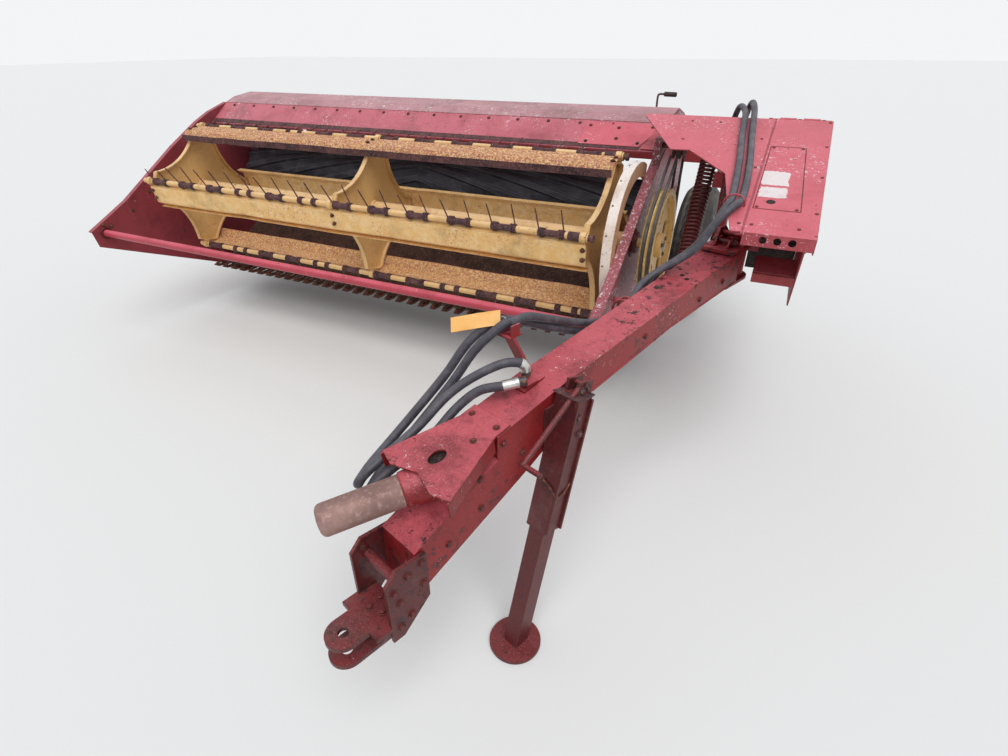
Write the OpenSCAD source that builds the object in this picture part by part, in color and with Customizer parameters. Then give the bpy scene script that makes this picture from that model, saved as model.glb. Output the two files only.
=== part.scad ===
// Mower conditioner, pulled, one side drive. Millimetres, +Z up, ground at Z 0.
// Travel is towards -Y. The machine's left side, with the tongue, is +X.
// Inside the modules X is counted from the reel's right end and Y from the reel's axis;
// at_origin() then moves every sub-part to the middle of the whole machine's footprint.

/* [Header] */
// Width between the end sheets
cut_w = 2820; // [2400:10:3200]
// Reel length
reel_l = 2500; // [2100:10:2900]
// Height of the reel's axis
reel_z = 780; // [740:5:820]
// Radius of the circle of tine tubes
reel_r = 334; // [300:2:345]
// Reel bats
bats = 4; // [4:1:6]
// Angle of the first bat, forward of straight up
reel_turn = -14; // [-45:1:45]
// Double tines on each bat
clips = 12; // [4:1:13]
// Distance between the two prongs of a double tine
prong_w = 82; // [50:1:100]
// Length of a tine from its tube
tine_l = 118; // [80:1:122]
// Spacing of the knife guards
guard_pitch = 76.2; // [50:0.1:100]

/* [Rolls] */
// Radius of a roll over its rubber ridges
roll_r = 130; // [110:1:134]
// Depth of the rubber ridges
ridge_h = 18; // [10:1:24]
// Ridges round a roll
ridges = 8; // [6:1:12]
// Sweep of a ridge from the roll's end to its middle
ridge_sweep = 150; // [60:5:200]
// Distance between the two roll axes
roll_gap = 270; // [266:1:290]

/* [Wheels] */
// Tyre radius
tyre_r = 375; // [340:1:400]
// Tyre width
tyre_w = 200; // [160:1:230]
// Rim radius
rim_r = 195; // [180:1:200]

/* [Tongue] */
// Length from the tongue's pivot to the hitch hole
tongue_l = 1666; // [1500:1:2200]
// Angle the tongue points inward
tongue_in = 19.2; // [10:0.1:24]
// Width of the tongue's box
tongue_w = 122; // [100:1:130]
// Radius of the hitch hole
hitch_r = 13; // [10:0.5:20]

/* [Frame] */
// Height of the rear cross-beam's underside
beam_z = 900; // [860:5:1000]
// Side of the square cross-beam
beam_s = 140; // [100:1:160]
// Thickness of the folded sheets
sheet_t = 5; // [3:0.5:8]

/* [Hidden] */
gap = 0.3;                      // between pieces of one body that sit together
run = 0.05;                     // radial clearance of a shaft in its bore
xr = -220;                      // right end sheet, inner face
xl = xr + cut_w;                // left end sheet, inner face
x_out = xl + 651;               // outer edge of the left shield
x_arm = xr - 100;               // outer face of the right frame arm
slack = 1;                      // radial clearance where a lift cylinder's linkage is opened
sheave_x = xl + 84;             // reel sheave, right face
sheave_r = 230;
drive_r = 52;                   // small sheave that drives the reel
drive = [225, 1138];            // its axis, side view
lift_y = 1270;                  // header's hinge line
lift_z = 450;
axle_y = 1330;
roll_y = 614;                   // upper roll's axis
roll_lo = [roll_y + 28, reel_z - sqrt(roll_gap * roll_gap - 28 * 28)];
tp = [xl + 419, -236];          // tongue pivot
spring_lo = [-205, 595];        // left flotation spring's hooks, side view
spring_hi = [190, 1165];
spring_lo_r = [35, 560];        // right spring, set further back
spring_hi_r = [430, 1060];
cyl_lo = [560, 470];            // lift cylinder's eyes, side view
cyl_hi = [700, 895];
cyl_xr = xr - 55;               // lift cylinders, right and left
cyl_xl = xl + 290;
y_rear = 1830;
wing_x = [xr + 420, xl - 180];     // swath shield hinges
wing_y = 1205;
eye_r = 42;
y_front = tp[1] - tongue_l * cos(tongue_in) - eye_r;
mid_x = (x_arm + x_out) / 2;
mid_y = (y_front + y_rear) / 2;
bar_y = 195;                    // cutterbar's middle
bar_z = 235;                    // and underside
shield_y = -565;                // front edge of the sloped left shield
shield_z = 1026;                // height of its underside there
shield_rise = 0.252;            // rise over run
lid_x = xl + 452;               // inner edge of the shield's hinged part
hinge = [310, 1243];            // its hinge line

red = [0.62, 0.20, 0.19];
ochre = [0.78, 0.60, 0.26];
black = [0.10, 0.10, 0.11];
rust = [0.36, 0.24, 0.18];
steel = [0.55, 0.53, 0.50];

module at_origin() { translate([-mid_x, -mid_y, 0]) children(); }

// Underside of the left shield at a distance y from the reel's axis.
function panel_z(y) = shield_z + (y - shield_y) * shield_rise;

module box(x0, x1, y0, y1, z0, z1) { translate([x0, y0, z0]) cube([x1 - x0, y1 - y0, z1 - z0]); }

// A side view outline, in Y and Z, drawn out along X.
module side(x, t, pts) { translate([x, 0, 0]) rotate([90, 0, 90]) linear_extrude(t) polygon(pts); }

module rod_x(x0, x1, y, z, r, n = 40) {
    translate([x0, y, z]) rotate([0, 90, 0]) cylinder(h = x1 - x0, r = r, $fn = n);
}

// Local frame of the tongue: forward is -Y, the outer side is +X.
module on_tongue() { translate([tp[0], tp[1], 0]) rotate([0, 0, -tongue_in]) children(); }

// Frame

module carrier_frame() {
    color(red) at_origin() {
        box(x_arm, xl + 500, axle_y - beam_s / 2, axle_y + beam_s / 2, beam_z, beam_z + beam_s);
        // right arm over the end of the header
        box(x_arm, x_arm + 18, 400, axle_y - beam_s / 2 + 10, beam_z + 40, beam_z + 120);
        side(x_arm, 10, [[400, beam_z + 40], [470, beam_z + 40], [460, 1085], [400, 1085]]);
        rod_x(x_arm + 5, xr - 18, spring_hi_r[0], spring_hi_r[1], 14);
        side(x_arm, 10, [[650, beam_z + 50], [750, beam_z + 50], [725, 870], [675, 870]]);
        rod_x(x_arm + 5, cyl_xr + 14, cyl_hi[0], cyl_hi[1], 12);
        // left side rail
        box(xl + 400, xl + 500, -150, axle_y, 850, 950);
        for (leg = [[xr + 290, -1], [xl - 110, 1]]) {
            side(leg[0], 60, [[axle_y - 60, beam_z], [axle_y + 60, beam_z], [axle_y + 70, 330],
                [axle_y - 70, 330], [axle_y - 115, 400], [axle_y - 115, 500]]);
        }
        rod_x(xr + 160, xr + 300, axle_y, tyre_r, 24);
        rod_x(xl - 60, xl + 80, axle_y, tyre_r, 24);
        // hinge pins of the swath shields
        for (x = wing_x) {
            box(x - 16, x + 16, wing_y - 20, axle_y - beam_s / 2 + 1, beam_z + 5, beam_z + 20);
            translate([x, wing_y, 600]) cylinder(h = beam_z - 590, r = 10, $fn = 32);
        }
        // link pins
        rod_x(xr + 340, xr + 390, lift_y, lift_z, 18);
        rod_x(xl - 150, xl - 100, lift_y, lift_z, 18);
        // left spring post and cylinder pin
        box(xl + 300, xl + 410, 215, 295, 880, 940);
        side(xl + 300, 12, [[210, 880], [300, 880], [240, panel_z(240) - gap], [150, panel_z(150) - gap]]);
        rod_x(xl + 225, xl + 305, spring_hi[0], spring_hi[1], 14);
        rod_x(cyl_xl - 14, xl + 410, cyl_hi[0], cyl_hi[1], 12);
        // tongue pivot lug
        difference() {
            union() {
                translate([tp[0], tp[1], 793]) cylinder(h = 99, r = 46, $fn = 48);
                box(tp[0] - 40, tp[0] + 40, tp[1], -145, 815, 880);
            }
            translate([tp[0], tp[1], 790]) cylinder(h = 110, r = 20 + run, $fn = 48);
        }
    }
}

module drive_bay() {
    color(red) at_origin() {
        // outer side plate, shelf and front rail under the shield's lip
        side(x_out - 20, sheet_t, [[-440, 960], [-300, 722], [420, 722], [1000, 850], [1000, 1000],
            [300, 1225], [-430, 1035]]);
        box(xl + 500 + gap, x_out - 20 - gap, -365, -190, 845, 850);
        box(xl + 500 + gap, x_out - 20 - gap, -375, -345, 815, 844);
        box(xl + 500 + gap, x_out - 20 - gap, 60, 100, 860, 930);
        box(xl + 500 + gap, x_out - 20 - gap, 700, 740, 860, 930);
        // rear panel under the crest, with the lid's hinge rod
        box(xl + 410, x_out - 21, 303, 308, 950 + gap, 1230);
        rod_x(lid_x - 30, x_out - 5, hinge[0], hinge[1], 5, 24);
        for (x = [lid_x - 30, lid_x + 76, x_out - 40]) side(x, 12, [[303, 1220], [308, 1220], [316, 1238],
            [316, 1249], [305, 1249]]);
        // blocks where the two hoses end
        box(xl + 225, xl + 330, 560, 580, 930, 984);
        box(xl + 225, xl + 400 - gap, 560, 590, 915, 930);
    }
}

module gearbox() {
    color(rust) at_origin() {
        box(xl + 330, xl + 495, 0, 180, 950 + gap, 1110);
        translate([xl + 430, 1, 1030]) rotate([90, 0, 0]) cylinder(h = 90, r = 30, $fn = 40);
    }
}

// The sloped sheet, cut to the outline given in the sheet's own plane, with its folded lip.
module slope_sheet(pts, x0) {
    translate([0, shield_y, shield_z]) rotate([atan(shield_rise), 0, 0]) translate([0, -shield_y, 0])
        linear_extrude(4) polygon(pts);
    box(x0, pts[len(pts) - 3][0], shield_y - 4, shield_y, shield_z - 34, shield_z + 4);
}

module shield_panel() {
    color(red) at_origin() {
        slope_sheet([[xl + 341, -190], [xl + 385, -420], [xl + 416, shield_y], [lid_x - 6, shield_y],
            [lid_x - 6, 325],
            [xl - 60, 325], [xl - 60, 300], [xl + 116, -20], [xl + 184, -15]], xl + 416);
        // folded edge over the sheave's opening
        side(xl + 112, 4, [[-10, panel_z(-10) - 30], [2, panel_z(2) - 30], [2, panel_z(2) + 1],
            [-10, panel_z(-10) + 1]]);
    }
}

module shield_lid() {
    color(red) at_origin() {
        difference() {
            union() {
                translate([0, shield_y, shield_z]) rotate([atan(shield_rise), 0, 0])
                    translate([0, -shield_y, 0])
                    linear_extrude(4) polygon([[lid_x, shield_y], [x_out, shield_y], [x_out, 325],
                        [lid_x, 325]]);
                box(lid_x, x_out, shield_y - 4, shield_y, shield_z - 34, shield_z + 4);
            }
            translate([xl + 521, -240, 1000]) cylinder(h = 200, r = 14, $fn = 32);
            for (dx = [0, 40, 80])
                translate([xl + 510 + dx, shield_y - 5, shield_z - 14]) rotate([-90, 0, 0])
                    cylinder(h = 10, r = 11, $fn = 24);
        }
        side(x_out - 4, 4, [[shield_y, shield_z], [shield_y, shield_z - 41], [255, panel_z(255) - 34],
            [298, panel_z(298)]]);
        for (x = [lid_x + 10, x_out - 105]) difference() {
            union() {
                rod_x(x, x + 60, hinge[0], hinge[1], 9, 32);
                box(x, x + 60, 296, 306, hinge[1] + 1, hinge[1] + 5);
            }
            rod_x(x - 1, x + 61, hinge[0], hinge[1], 5 + run, 32);
        }
    }
}

// Wheels

module tyre(x) {
    h = tyre_w / 2;
    translate([x, axle_y, tyre_r]) rotate([0, 90, 0]) rotate_extrude($fn = 72)
        polygon([[rim_r + 0.6, -h + 28], [rim_r + 20, -h + 10], [rim_r + 90, -h], [tyre_r - 50, -h + 4],
            [tyre_r - 14, -h + 22], [tyre_r, -h + 60], [tyre_r, h - 60], [tyre_r - 14, h - 22],
            [tyre_r - 50, h - 4], [rim_r + 90, h], [rim_r + 20, h - 10], [rim_r + 0.6, h - 28]]);
}

module rim(x, out) {
    h = tyre_w / 2 - 28;
    translate([x, axle_y, tyre_r]) rotate([0, 90 * out, 0]) {
        rotate_extrude($fn = 72) polygon([[rim_r - 8, -h - 12], [rim_r + 12, -h - 12],
            [rim_r, -h - 1], [rim_r, h + 1], [rim_r + 12, h + 12], [rim_r - 8, h + 12],
            [rim_r - 30, h - 10], [rim_r - 30, -h + 10]]);
        difference() {
            union() {
                translate([0, 0, -6]) cylinder(h = 10, r = rim_r - 29, $fn = 60);
                translate([0, 0, -60]) cylinder(h = 130, r = 52, $fn = 40);
            }
            translate([0, 0, -61]) cylinder(h = 95, r = 24 + run, $fn = 40);
        }
    }
}

module tyre_left() { color(black) at_origin() tyre(xl + 100); }
module tyre_right() { color(black) at_origin() tyre(xr + 140); }
module rim_left() { color([0.85, 0.85, 0.82]) at_origin() rim(xl + 100, 1); }
module rim_right() { color([0.85, 0.85, 0.82]) at_origin() rim(xr + 140, -1); }

// Tongue

tw = tongue_w / 2;

module tongue_beam() {
    color(red) at_origin() on_tongue() {
        side(-tw, tongue_w, [[-70, 898], [-1000, 782], [-1240, 739], [-1240, 674], [-tongue_l + 166, 560],
            [-tongue_l + 166, 430], [-1125, 588], [-890, 700], [-500, 757], [-70, 787]]);
        // clevis plates and pin at the pivot
        difference() {
            union() {
                translate([-tw, -140, 897]) cube([tongue_w, 140, 10]);
                translate([0, 0, 897]) cylinder(h = 10, r = tw, $fn = 48);
                translate([-tw, -140, 778]) cube([tongue_w, 140, 10]);
                translate([0, 0, 778]) cylinder(h = 10, r = tw, $fn = 48);
            }
        }
        translate([0, 0, 770]) cylinder(h = 150, r = 20, $fn = 48);
        // upright ears and their bolts
        for (x = [-tw + 4, tw - 16]) {
            side(x, 12, [[-60, 900], [40, 900], [40, 925], [10, 950], [-30, 950]]);
        }
        rod_x(-tw + 16, tw - 16, -5, 930, 9);
        // hose hooks on the outer top edge
        for (y = [-515, -545]) translate([-tw - 26, y, 782]) rotate([90, 0, 0]) rotate_extrude($fn = 32)
            translate([36, 0]) circle(4.5, $fn = 8);
        translate([-tw - 3, -553, 800]) cube([6, 46, 16]);
    }
}

module bell_cover() {
    slope = 10;
    front = 1440;
    color(red) at_origin() on_tongue() {
        difference() {
            translate([0, -1200, 749]) rotate([slope, 0, 0]) translate([0, 1200, 0]) linear_extrude(5)
                polygon([[-tw, -1200], [tw, -1200], [tw, -1250], [120, -front], [70, -front - 14],
                    [0, -front + 8],
                    [-70, -front - 14], [-120, -front], [-tw, -1250]]);
            translate([0, -1372, 600]) scale([1, 1.4, 1]) cylinder(h = 200, r = 17, $fn = 32);
        }
        // flared side flanges
        for (m = [0, 1]) mirror([m, 0, 0])
            translate([tw, -1250, 700]) rotate([slope, 0, 17.2])
                translate([-4, -198, 0]) cube([4, 198, 42]);
    }
}

module hitch() {
    z = 400;
    s = -tongue_l;
    color(red) at_origin() on_tongue() {
        // U bracket bolted round the beam's end
        for (x = [-tw - 10, tw + 0.5])
            side(x, 9.5, [[s + 190, 555], [s + 190, 420], [s + 110, 350], [s + 80, 350], [s + 80, 530],
                [s + 110, 560]]);
        difference() {
            union() {
                translate([-tw - 10, s + 40, z - 12]) cube([tongue_w + 20, 90, 12]);
                translate([-42, s, z - 12]) cube([84, 80, 12]);
                translate([0, s, z - 12]) cylinder(h = 12, r = eye_r, $fn = 48);
                translate([-42, s, z - 72]) cube([84, 110, 12]);
                translate([0, s, z - 72]) cylinder(h = 12, r = eye_r, $fn = 48);
                translate([-42, s + 70, z - 72]) cube([84, 40, 72]);
            }
            translate([0, s, z - 90]) cylinder(h = 120, r = hitch_r, $fn = 48);
        }
    }
}

// Top of the tongue's beam at a place y on its front half.
function beam_top(y) = 782 + (y + 1000) * 43 / 240;

module hose_stand() {
    color(red) at_origin() on_tongue() {
        // foot on the beam's sloping top
        side(-tw + 1, 66, [[-1020, beam_top(-1020) + gap], [-1020, beam_top(-1020) + 6],
            [-1095, beam_top(-1095) + 6], [-1095, beam_top(-1095) + gap]]);
        // post, leaning outward, and the cradle on it
        translate([-tw + 8, -1035, 779]) rotate([12, -25, 0]) translate([0, -4, 0]) cube([30, 8, 119]);
        translate([-tw - 92, -1074, 880]) cube([86, 46, 5]);
        for (x = [-tw - 92, -tw - 11]) translate([x, -1066, 880]) cube([5, 30, 34]);
        // holder of the couplers
        translate([-tw + 40, -1092, 784]) cube([34, 40, 6]);
        translate([-tw + 50, -1085, 772]) cube([8, 26, 14]);
    }
}

// Top of the beam under the bell cover.
function nose_top(y) = 674 + (y + 1240) * 114 / (tongue_l - 166 - 1240);

module driveline() {
    color(rust) at_origin() on_tongue() {
        translate([8, -1345, 668]) rotate([0, 0, -23]) rotate([98, 0, 0])
            cylinder(h = 290, r = 38, $fn = 48);
        // bearing block on the beam
        side(-34, 76, [[-1290, nose_top(-1290) + gap], [-1290, 690], [-1352, 690],
            [-1352, nose_top(-1352) + gap]]);
    }
}

jack = [98, -1010];
jack_top = 780;
jack_lean = 15;                 // its foot stands ahead of its head

// Frame of the jack: Z up along its leg, from the head.
module on_jack() {
    on_tongue() translate([jack[0], jack[1], jack_top]) rotate([-jack_lean, 0, 0]) children();
}

module jack_tube() {
    color(red) at_origin() {
        on_jack() {
            difference() {
                translate([-32, -32, -400]) cube([64, 64, 390]);
                translate([-27, -27, -401]) cube([54, 54, 381]);
            }
            // screw head and its yoke
            translate([-24, -24, -10 + gap]) cube([48, 48, 6]);
            for (x = [-20, 12]) translate([x, -18, -6]) cube([8, 58, 34]);
            rod_x(-20, 20, 14, 14, 8, 24);
            // crank
            translate([16, -10, 14]) rotate([137, 0, 0]) cylinder(h = 235, r = 7, $fn = 16);
            translate([16, -168, -158]) rotate([0, 90, 0]) cylinder(h = 55, r = 7, $fn = 16);
        }
        on_tongue() translate([tw + gap, jack[1] - 75, 640]) cube([6, 75, 100]);
    }
}

module jack_leg() {
    foot = (jack_top - 8) / cos(jack_lean);
    color(red) at_origin() {
        on_jack() translate([-25, -25, -foot]) cube([50, 50, foot - 215]);
        on_tongue() translate([jack[0], jack[1] - jack_top * tan(jack_lean), 0])
            cylinder(h = 10, r = 75, $fn = 40);
    }
}

// Header

// Side outline of an end sheet: its sloping front edge, its top and its underside.
sheet_front = [[-590, 632], [-350, 748], [-170, 860], [30, 985], [240, 1100], [345, 1146], [491, 1190]];
sheet_rest = [[560, 1212], [700, 1231], [850, 1197], [1000, 1115], [940, 450], [880, 330], [450, 190],
    [284, 198], [150, 226], [-575, 545]];

module end_sheet(x) {
    difference() {
        side(x, sheet_t, concat(sheet_front, sheet_rest));
        rod_x(x - 1, x + sheet_t + 1, 0, reel_z, 20 + run);
        rod_x(x - 1, x + sheet_t + 1, roll_y, reel_z, 25 + run);
        rod_x(x - 1, x + sheet_t + 1, roll_lo[0], roll_lo[1], 25 + run);
    }
}

// The flange folded along the front edge.
module front_flange(x, w) {
    n = len(sheet_front);
    side(x, w, concat(sheet_front, [for (i = [n - 1:-1:0]) sheet_front[i] + [5, -7]]));
}

module end_sheet_right() {
    color(red) at_origin() {
        end_sheet(xr - sheet_t);
        front_flange(xr - 30, 30);
    }
}

module end_sheet_left() {
    color(red) at_origin() {
        end_sheet(xl);
        front_flange(xl, 40);
        // bearing block of the reel's drive sheave, standing on the flange
        difference() {
            side(xl + 6, 32, [[170, 1055], [240, 1095], [285, 1115], [262, 1165], [195, 1165]]);
            rod_x(xl + 5, xl + 40, drive[0], drive[1], 12 + run);
        }
    }
}

module fascia() {
    color(red) at_origin() {
        side(xr + gap, cut_w - 5 - 2 * gap, [[345, 1080], [352, 1080], [352, 1084], [491, 1182],
            [491, 1189], [345, 1086]]);
        rod_x(xr + gap, xl - gap, 560, 1150, 30);
        // web from the sheet to its tube
        side(xr + 100, cut_w - 200, [[440, 1147], [560, 1147], [560, 1152], [445, 1152]]);
    }
}

module push_bar() {
    color(red) at_origin() rod_x(xr + gap, xl - gap, -520, 610, 19);
}

module floor_pan() {
    y = bar_y + 15;
    color(rust) at_origin() side(xr + gap, cut_w - 2 * gap, [[y, bar_z + 18], [y, bar_z + 12 + gap],
        [y + 18, bar_z + 12 + gap], [495, 405], [492, 411]]);
}

module cutterbar() {
    n = floor((cut_w - 40) / guard_pitch);
    color(rust) at_origin() {
        box(xr + gap, xl - gap, bar_y - 33, bar_y + 33, bar_z, bar_z + 12);
        for (i = [0:n - 1])
            translate([0, bar_y, bar_z]) side(xr + 60 + i * guard_pitch, 20, [[-25, 2], [-25, 12],
                [-35, 14],
                [-55, 14], [-125, 16], [-125, 26], [-90, 26], [-90, 30], [-133, 30], [-157, 18],
                [-135, 6], [-95, 0]]);
    }
}

module knife() {
    n = floor((cut_w - 120) / guard_pitch);
    x0 = xr + 60 - guard_pitch / 2 + 48;
    color(steel) at_origin() {
        box(x0, x0 + n * guard_pitch, bar_y - 25, bar_y - 3, bar_z + 12.5, bar_z + 20);
        translate([x0, bar_y - 24.9, bar_z + 16.5]) linear_extrude(3)
            for (i = [0:n - 1]) translate([i * guard_pitch, 0])
                polygon([[1, 0], [guard_pitch - 1, 0], [guard_pitch / 2 + 7, -72],
                    [guard_pitch / 2 - 7, -72]]);
    }
}

module skid_shoes() {
    color(rust) at_origin() for (x = [xr + 60, xl - 180])
        translate([0, bar_y, bar_z]) side(x, 120, [[-15, -gap], [-35, -30], [-5, -43], [235, -43],
            [335, 25],
            [325, 33], [225, -33], [5, -33], [35, -gap]]);
}

module cam_band() {
    color([0.82, 0.76, 0.60]) at_origin() difference() {
        translate([xl - 40, 0, reel_z]) rotate([90, 0, 90]) difference() {
            cylinder(h = 40 - gap, r = 318, $fn = 96);
            translate([0, 0, -1]) cylinder(h = 28, r = 300, $fn = 96);
            translate([0, 0, 20]) cylinder(h = 30, r = 262, $fn = 96);
        }
        box(xl - 50, xl, 130, 400, 300, 1200);
        box(xl - 50, xl, -400, 400, 300, 540);
    }
}

module hood() {
    color(rust) at_origin() side(xr + gap, cut_w - 2 * gap, [[491 + gap, 1185], [560, 1212], [700, 1231],
        [850, 1197],
        [1050, 1089], [1052, 1094], [852, 1203], [700, 1237], [560, 1218], [491 + gap, 1191]]);
}

module header_links() {
    color(red) at_origin() {
        rod_x(xr + gap, xl - gap, 850, 400, 32);
        for (x = [xr + 360, xl - 145]) difference() {
            side(x, 25, [[835, 370], [lift_y, lift_z - 40], [lift_y + 40, lift_z], [lift_y, lift_z + 40],
                [835, 430]]);
            rod_x(x - 1, x + 26, lift_y, lift_z, 18 + run);
        }
        // spring and cylinder lugs outside the end sheets
        rod_x(xr - 72, xr - sheet_t - gap, spring_lo_r[0], spring_lo_r[1], 13);
        rod_x(xr - 72, xr - sheet_t - gap, cyl_lo[0], cyl_lo[1], 12);
        rod_x(xl + sheet_t + gap, xl + 262, spring_lo[0], spring_lo[1], 13);
        rod_x(xl + sheet_t + gap, xl + 310, cyl_lo[0], cyl_lo[1], 12);
    }
}

// Reel

// A star of the reel: its tips carry the rings that hold the tine tubes.
module spider(x) {
    k = 360 / bats;
    // The scallops between the arms leave a broad hub and a neck on each arm.
    hub_r = reel_r * 0.63;
    scallop_at = (hub_r - reel_r * 0.155) / (1 - sin(k / 2));
    scallop_r = scallop_at - hub_r;
    translate([x, 0, reel_z]) rotate([90, 0, 90]) rotate(reel_turn) difference() {
        linear_extrude(24) difference() {
            union() {
                difference() {
                    circle(reel_r - 22 - gap, $fn = 72);
                    for (i = [0:bats - 1]) rotate(90 + k / 2 + i * k) translate([scallop_at, 0])
                        circle(scallop_r, $fn = 96);
                    // Each arm's tip stops just under its bat.
                    for (i = [0:bats - 1]) rotate(i * k) polygon([[-5.6, reel_r + 30],
                        [-5.6, reel_r - 20.9], [-16, reel_r - 8.6], [-91.5, reel_r - 44.4],
                        [-95.5, reel_r - 58.6], [-150, reel_r - 58.6], [-150, reel_r + 30]]);
                }
                for (i = [0:bats - 1]) rotate(i * k) {
                    translate([tube_y, reel_r]) circle(20.2, $fn = 32);
                    translate([tube_y - 8, reel_r - 34]) square([16, 20]);
                }
            }
            for (i = [0:bats - 1]) rotate(i * k) translate([tube_y, reel_r]) circle(13 + gap, $fn = 32);
            circle(36, $fn = 32);
        }
        translate([0, 0, 5]) linear_extrude(24) difference() {
            circle(reel_r - 30, $fn = 72);
            for (i = [0:bats - 1]) rotate(90 + k / 2 + i * k) translate([scallop_at, 0])
                circle(scallop_r + 6, $fn = 96);
            circle(42, $fn = 32);
        }
    }
}

module reel_core() {
    color(ochre) at_origin() {
        rod_x(xr + 20, xl - 20, 0, reel_z, 37);
        rod_x(xr - 25, xr + 20, 0, reel_z, 20);
        rod_x(xl - 20, sheave_x + 50, 0, reel_z, 20);
        for (x = [0, reel_l / 2, reel_l - 24]) spider(x);
    }
}

tube_y = 12;                    // tine tube, ahead of its bat

module reel_bats() {
    color(ochre) at_origin() for (i = [0:bats - 1])
        translate([0, 0, reel_z]) rotate([reel_turn + i * 360 / bats, 0, 0])
            side(0, reel_l, [[-2.5, reel_r - 15], [-16, reel_r - 2], [-96, reel_r - 40],
                [-100, reel_r - 56],
                [-96, reel_r - 58], [-92, reel_r - 44], [-16, reel_r - 8], [-6, reel_r - 20]]);
}

// Each bar's tines lean as the cam turns them: far back on the upper bat, out on the lower ones.
function tine_lean(a) = a < 45 ? 65 : a < 135 ? 41 : a < 225 ? 15 : 60;

module tine_bars() {
    pitch = (reel_l - 242) / (clips - 1);
    color(rust) at_origin() for (i = [0:bats - 1]) {
        a = i * 360 / bats;
        translate([0, 0, reel_z]) rotate([reel_turn + a, 0, 0]) translate([0, tube_y, reel_r]) {
            rod_x(-30, reel_l + 5, 0, 0, 13, 20);
            for (j = [0:clips - 1]) translate([100 + j * pitch, 0, 0]) {
                rod_x(-prong_w / 2, prong_w / 2, 0, 0, 16, 16);
                for (x = [-prong_w / 2, prong_w / 2]) translate([x, 0, 0]) rotate([-tine_lean(a), 0, 0]) {
                    translate([0, 0, 10]) cylinder(h = tine_l - 24, r = 3.2, $fn = 4);
                    rod_x(-12, 12, 0, 0, 20, 16);
                }
            }
        }
    }
}

// A double-groove sheave of outer radius r, turned about X, from its right face.
module sheave(r, bore, web) {
    rotate([0, 90, 0]) rotate_extrude($fn = 90) polygon([[bore, 0], [web, 0], [web, 18], [r - 30, 18],
        [r - 30, 0],
        [r, 0], [r - 16, 5], [r - 16, 17], [r, 22], [r, 26], [r - 16, 31], [r - 16, 43], [r, 48],
        [r - 30, 48],
        [r - 30, 24], [web, 24], [web, 48], [bore, 48]]);
}

module reel_sheave() {
    color(ochre) at_origin() translate([sheave_x, 0, reel_z]) difference() {
        sheave(sheave_r, 20 + run, 50);
        for (i = [0:4]) rotate([i * 72, 0, 0]) translate([-10, 0, 125]) rotate([0, 90, 0])
            cylinder(h = 60, r = 38, $fn = 36);
    }
}

// Outline of a belt round both sheaves, at a height h above the bottoms of their grooves.
function belt_line(h) = let (
    r1 = sheave_r - 16 + h, r2 = drive_r - 16 + h,
    d = [drive[0], drive[1] - reel_z], at = atan2(d[1], d[0]), w = acos((r1 - r2) / norm(d)))
    concat([for (i = [0:24]) let (a = at + w + i * (360 - 2 * w) / 24) r1 * [cos(a), sin(a)]],
        [for (i = [0:8]) let (a = at - w + i * 2 * w / 8) d + r2 * [cos(a), sin(a)]]);

module reel_belts() {
    color(black) at_origin() for (x = [6, 32]) translate([sheave_x + x, 0, reel_z]) rotate([90, 0, 90])
        linear_extrude(10) difference() {
            polygon(belt_line(10));
            polygon(belt_line(1.5));
        }
}

module belt_sheave() {
    color(rust) at_origin() translate([sheave_x, drive[0], drive[1]]) {
        difference() {
            rotate([0, 90, 0]) cylinder(h = 48, r = drive_r, $fn = 60);
            for (x = [0, 26]) translate([x + 4, 0, 0]) rotate([0, 90, 0]) difference() {
                cylinder(h = 14, r = drive_r + 1, $fn = 60);
                translate([0, 0, -1]) cylinder(h = 16, r = drive_r - 16, $fn = 60);
            }
        }
        rod_x(xl + 9 - sheave_x, 60, 0, 0, 12, 32);
    }
}

// Conditioning rolls

module roll_half(len, dir) {
    step = 360 / ridges;
    core = roll_r - ridge_h;
    linear_extrude(len, twist = dir * ridge_sweep, slices = 12)
        polygon([for (i = [0:ridges - 1], q = [[core, 0], [core, 0.52], [roll_r, 0.62], [roll_r, 0.9]])
            q[0] * [cos((i + q[1]) * step), sin((i + q[1]) * step)]]);
}

module roll(y, z, dir) {
    len = (cut_w - 110) / 2;
    translate([xr + 55, y, z]) rotate([0, 90, 0]) {
        roll_half(len, dir);
        translate([0, 0, 2 * len]) mirror([0, 0, 1]) roll_half(len - 1, dir);
        translate([0, 0, -70]) cylinder(h = cut_w + 40, r = 25, $fn = 40);
    }
}

module roll_upper() { color(black) at_origin() roll(roll_y, reel_z, 1); }
module roll_lower() { color(black) at_origin() roll(roll_lo[0], roll_lo[1], -1); }

// Swath shields

// A curved sheet behind the rolls that narrows the swath; in is +1 where inward is +X.
module wing(x, in) {
    translate([x, wing_y, 0]) difference() {
        union() {
            translate([0, 0, 610]) cylinder(h = beam_z - 620, r = 16, $fn = 40);
            intersection() {
                mirror([in > 0 ? 0 : 1, 0, 0]) translate([0, 0, 400]) linear_extrude(500)
                    polygon([[-2, 0], [2, 0],
                    [4, 300], [30, 480], [80, y_rear - wing_y], [76, y_rear - wing_y], [26, 482],
                    [0, 302]]);
                side(-200, 400, [[0, 880], [0, 560], [120, 470], [500, 440], [700, 520], [700, 780],
                    [480, 880]]);
            }
        }
        translate([0, 0, 590]) cylinder(h = 400, r = 10 + run, $fn = 32);
    }
}

module wing_right() { color(red) at_origin() wing(wing_x[0], 1); }
module wing_left() { color(red) at_origin() wing(wing_x[1], -1); }

// Flotation springs and lift cylinders

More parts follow.
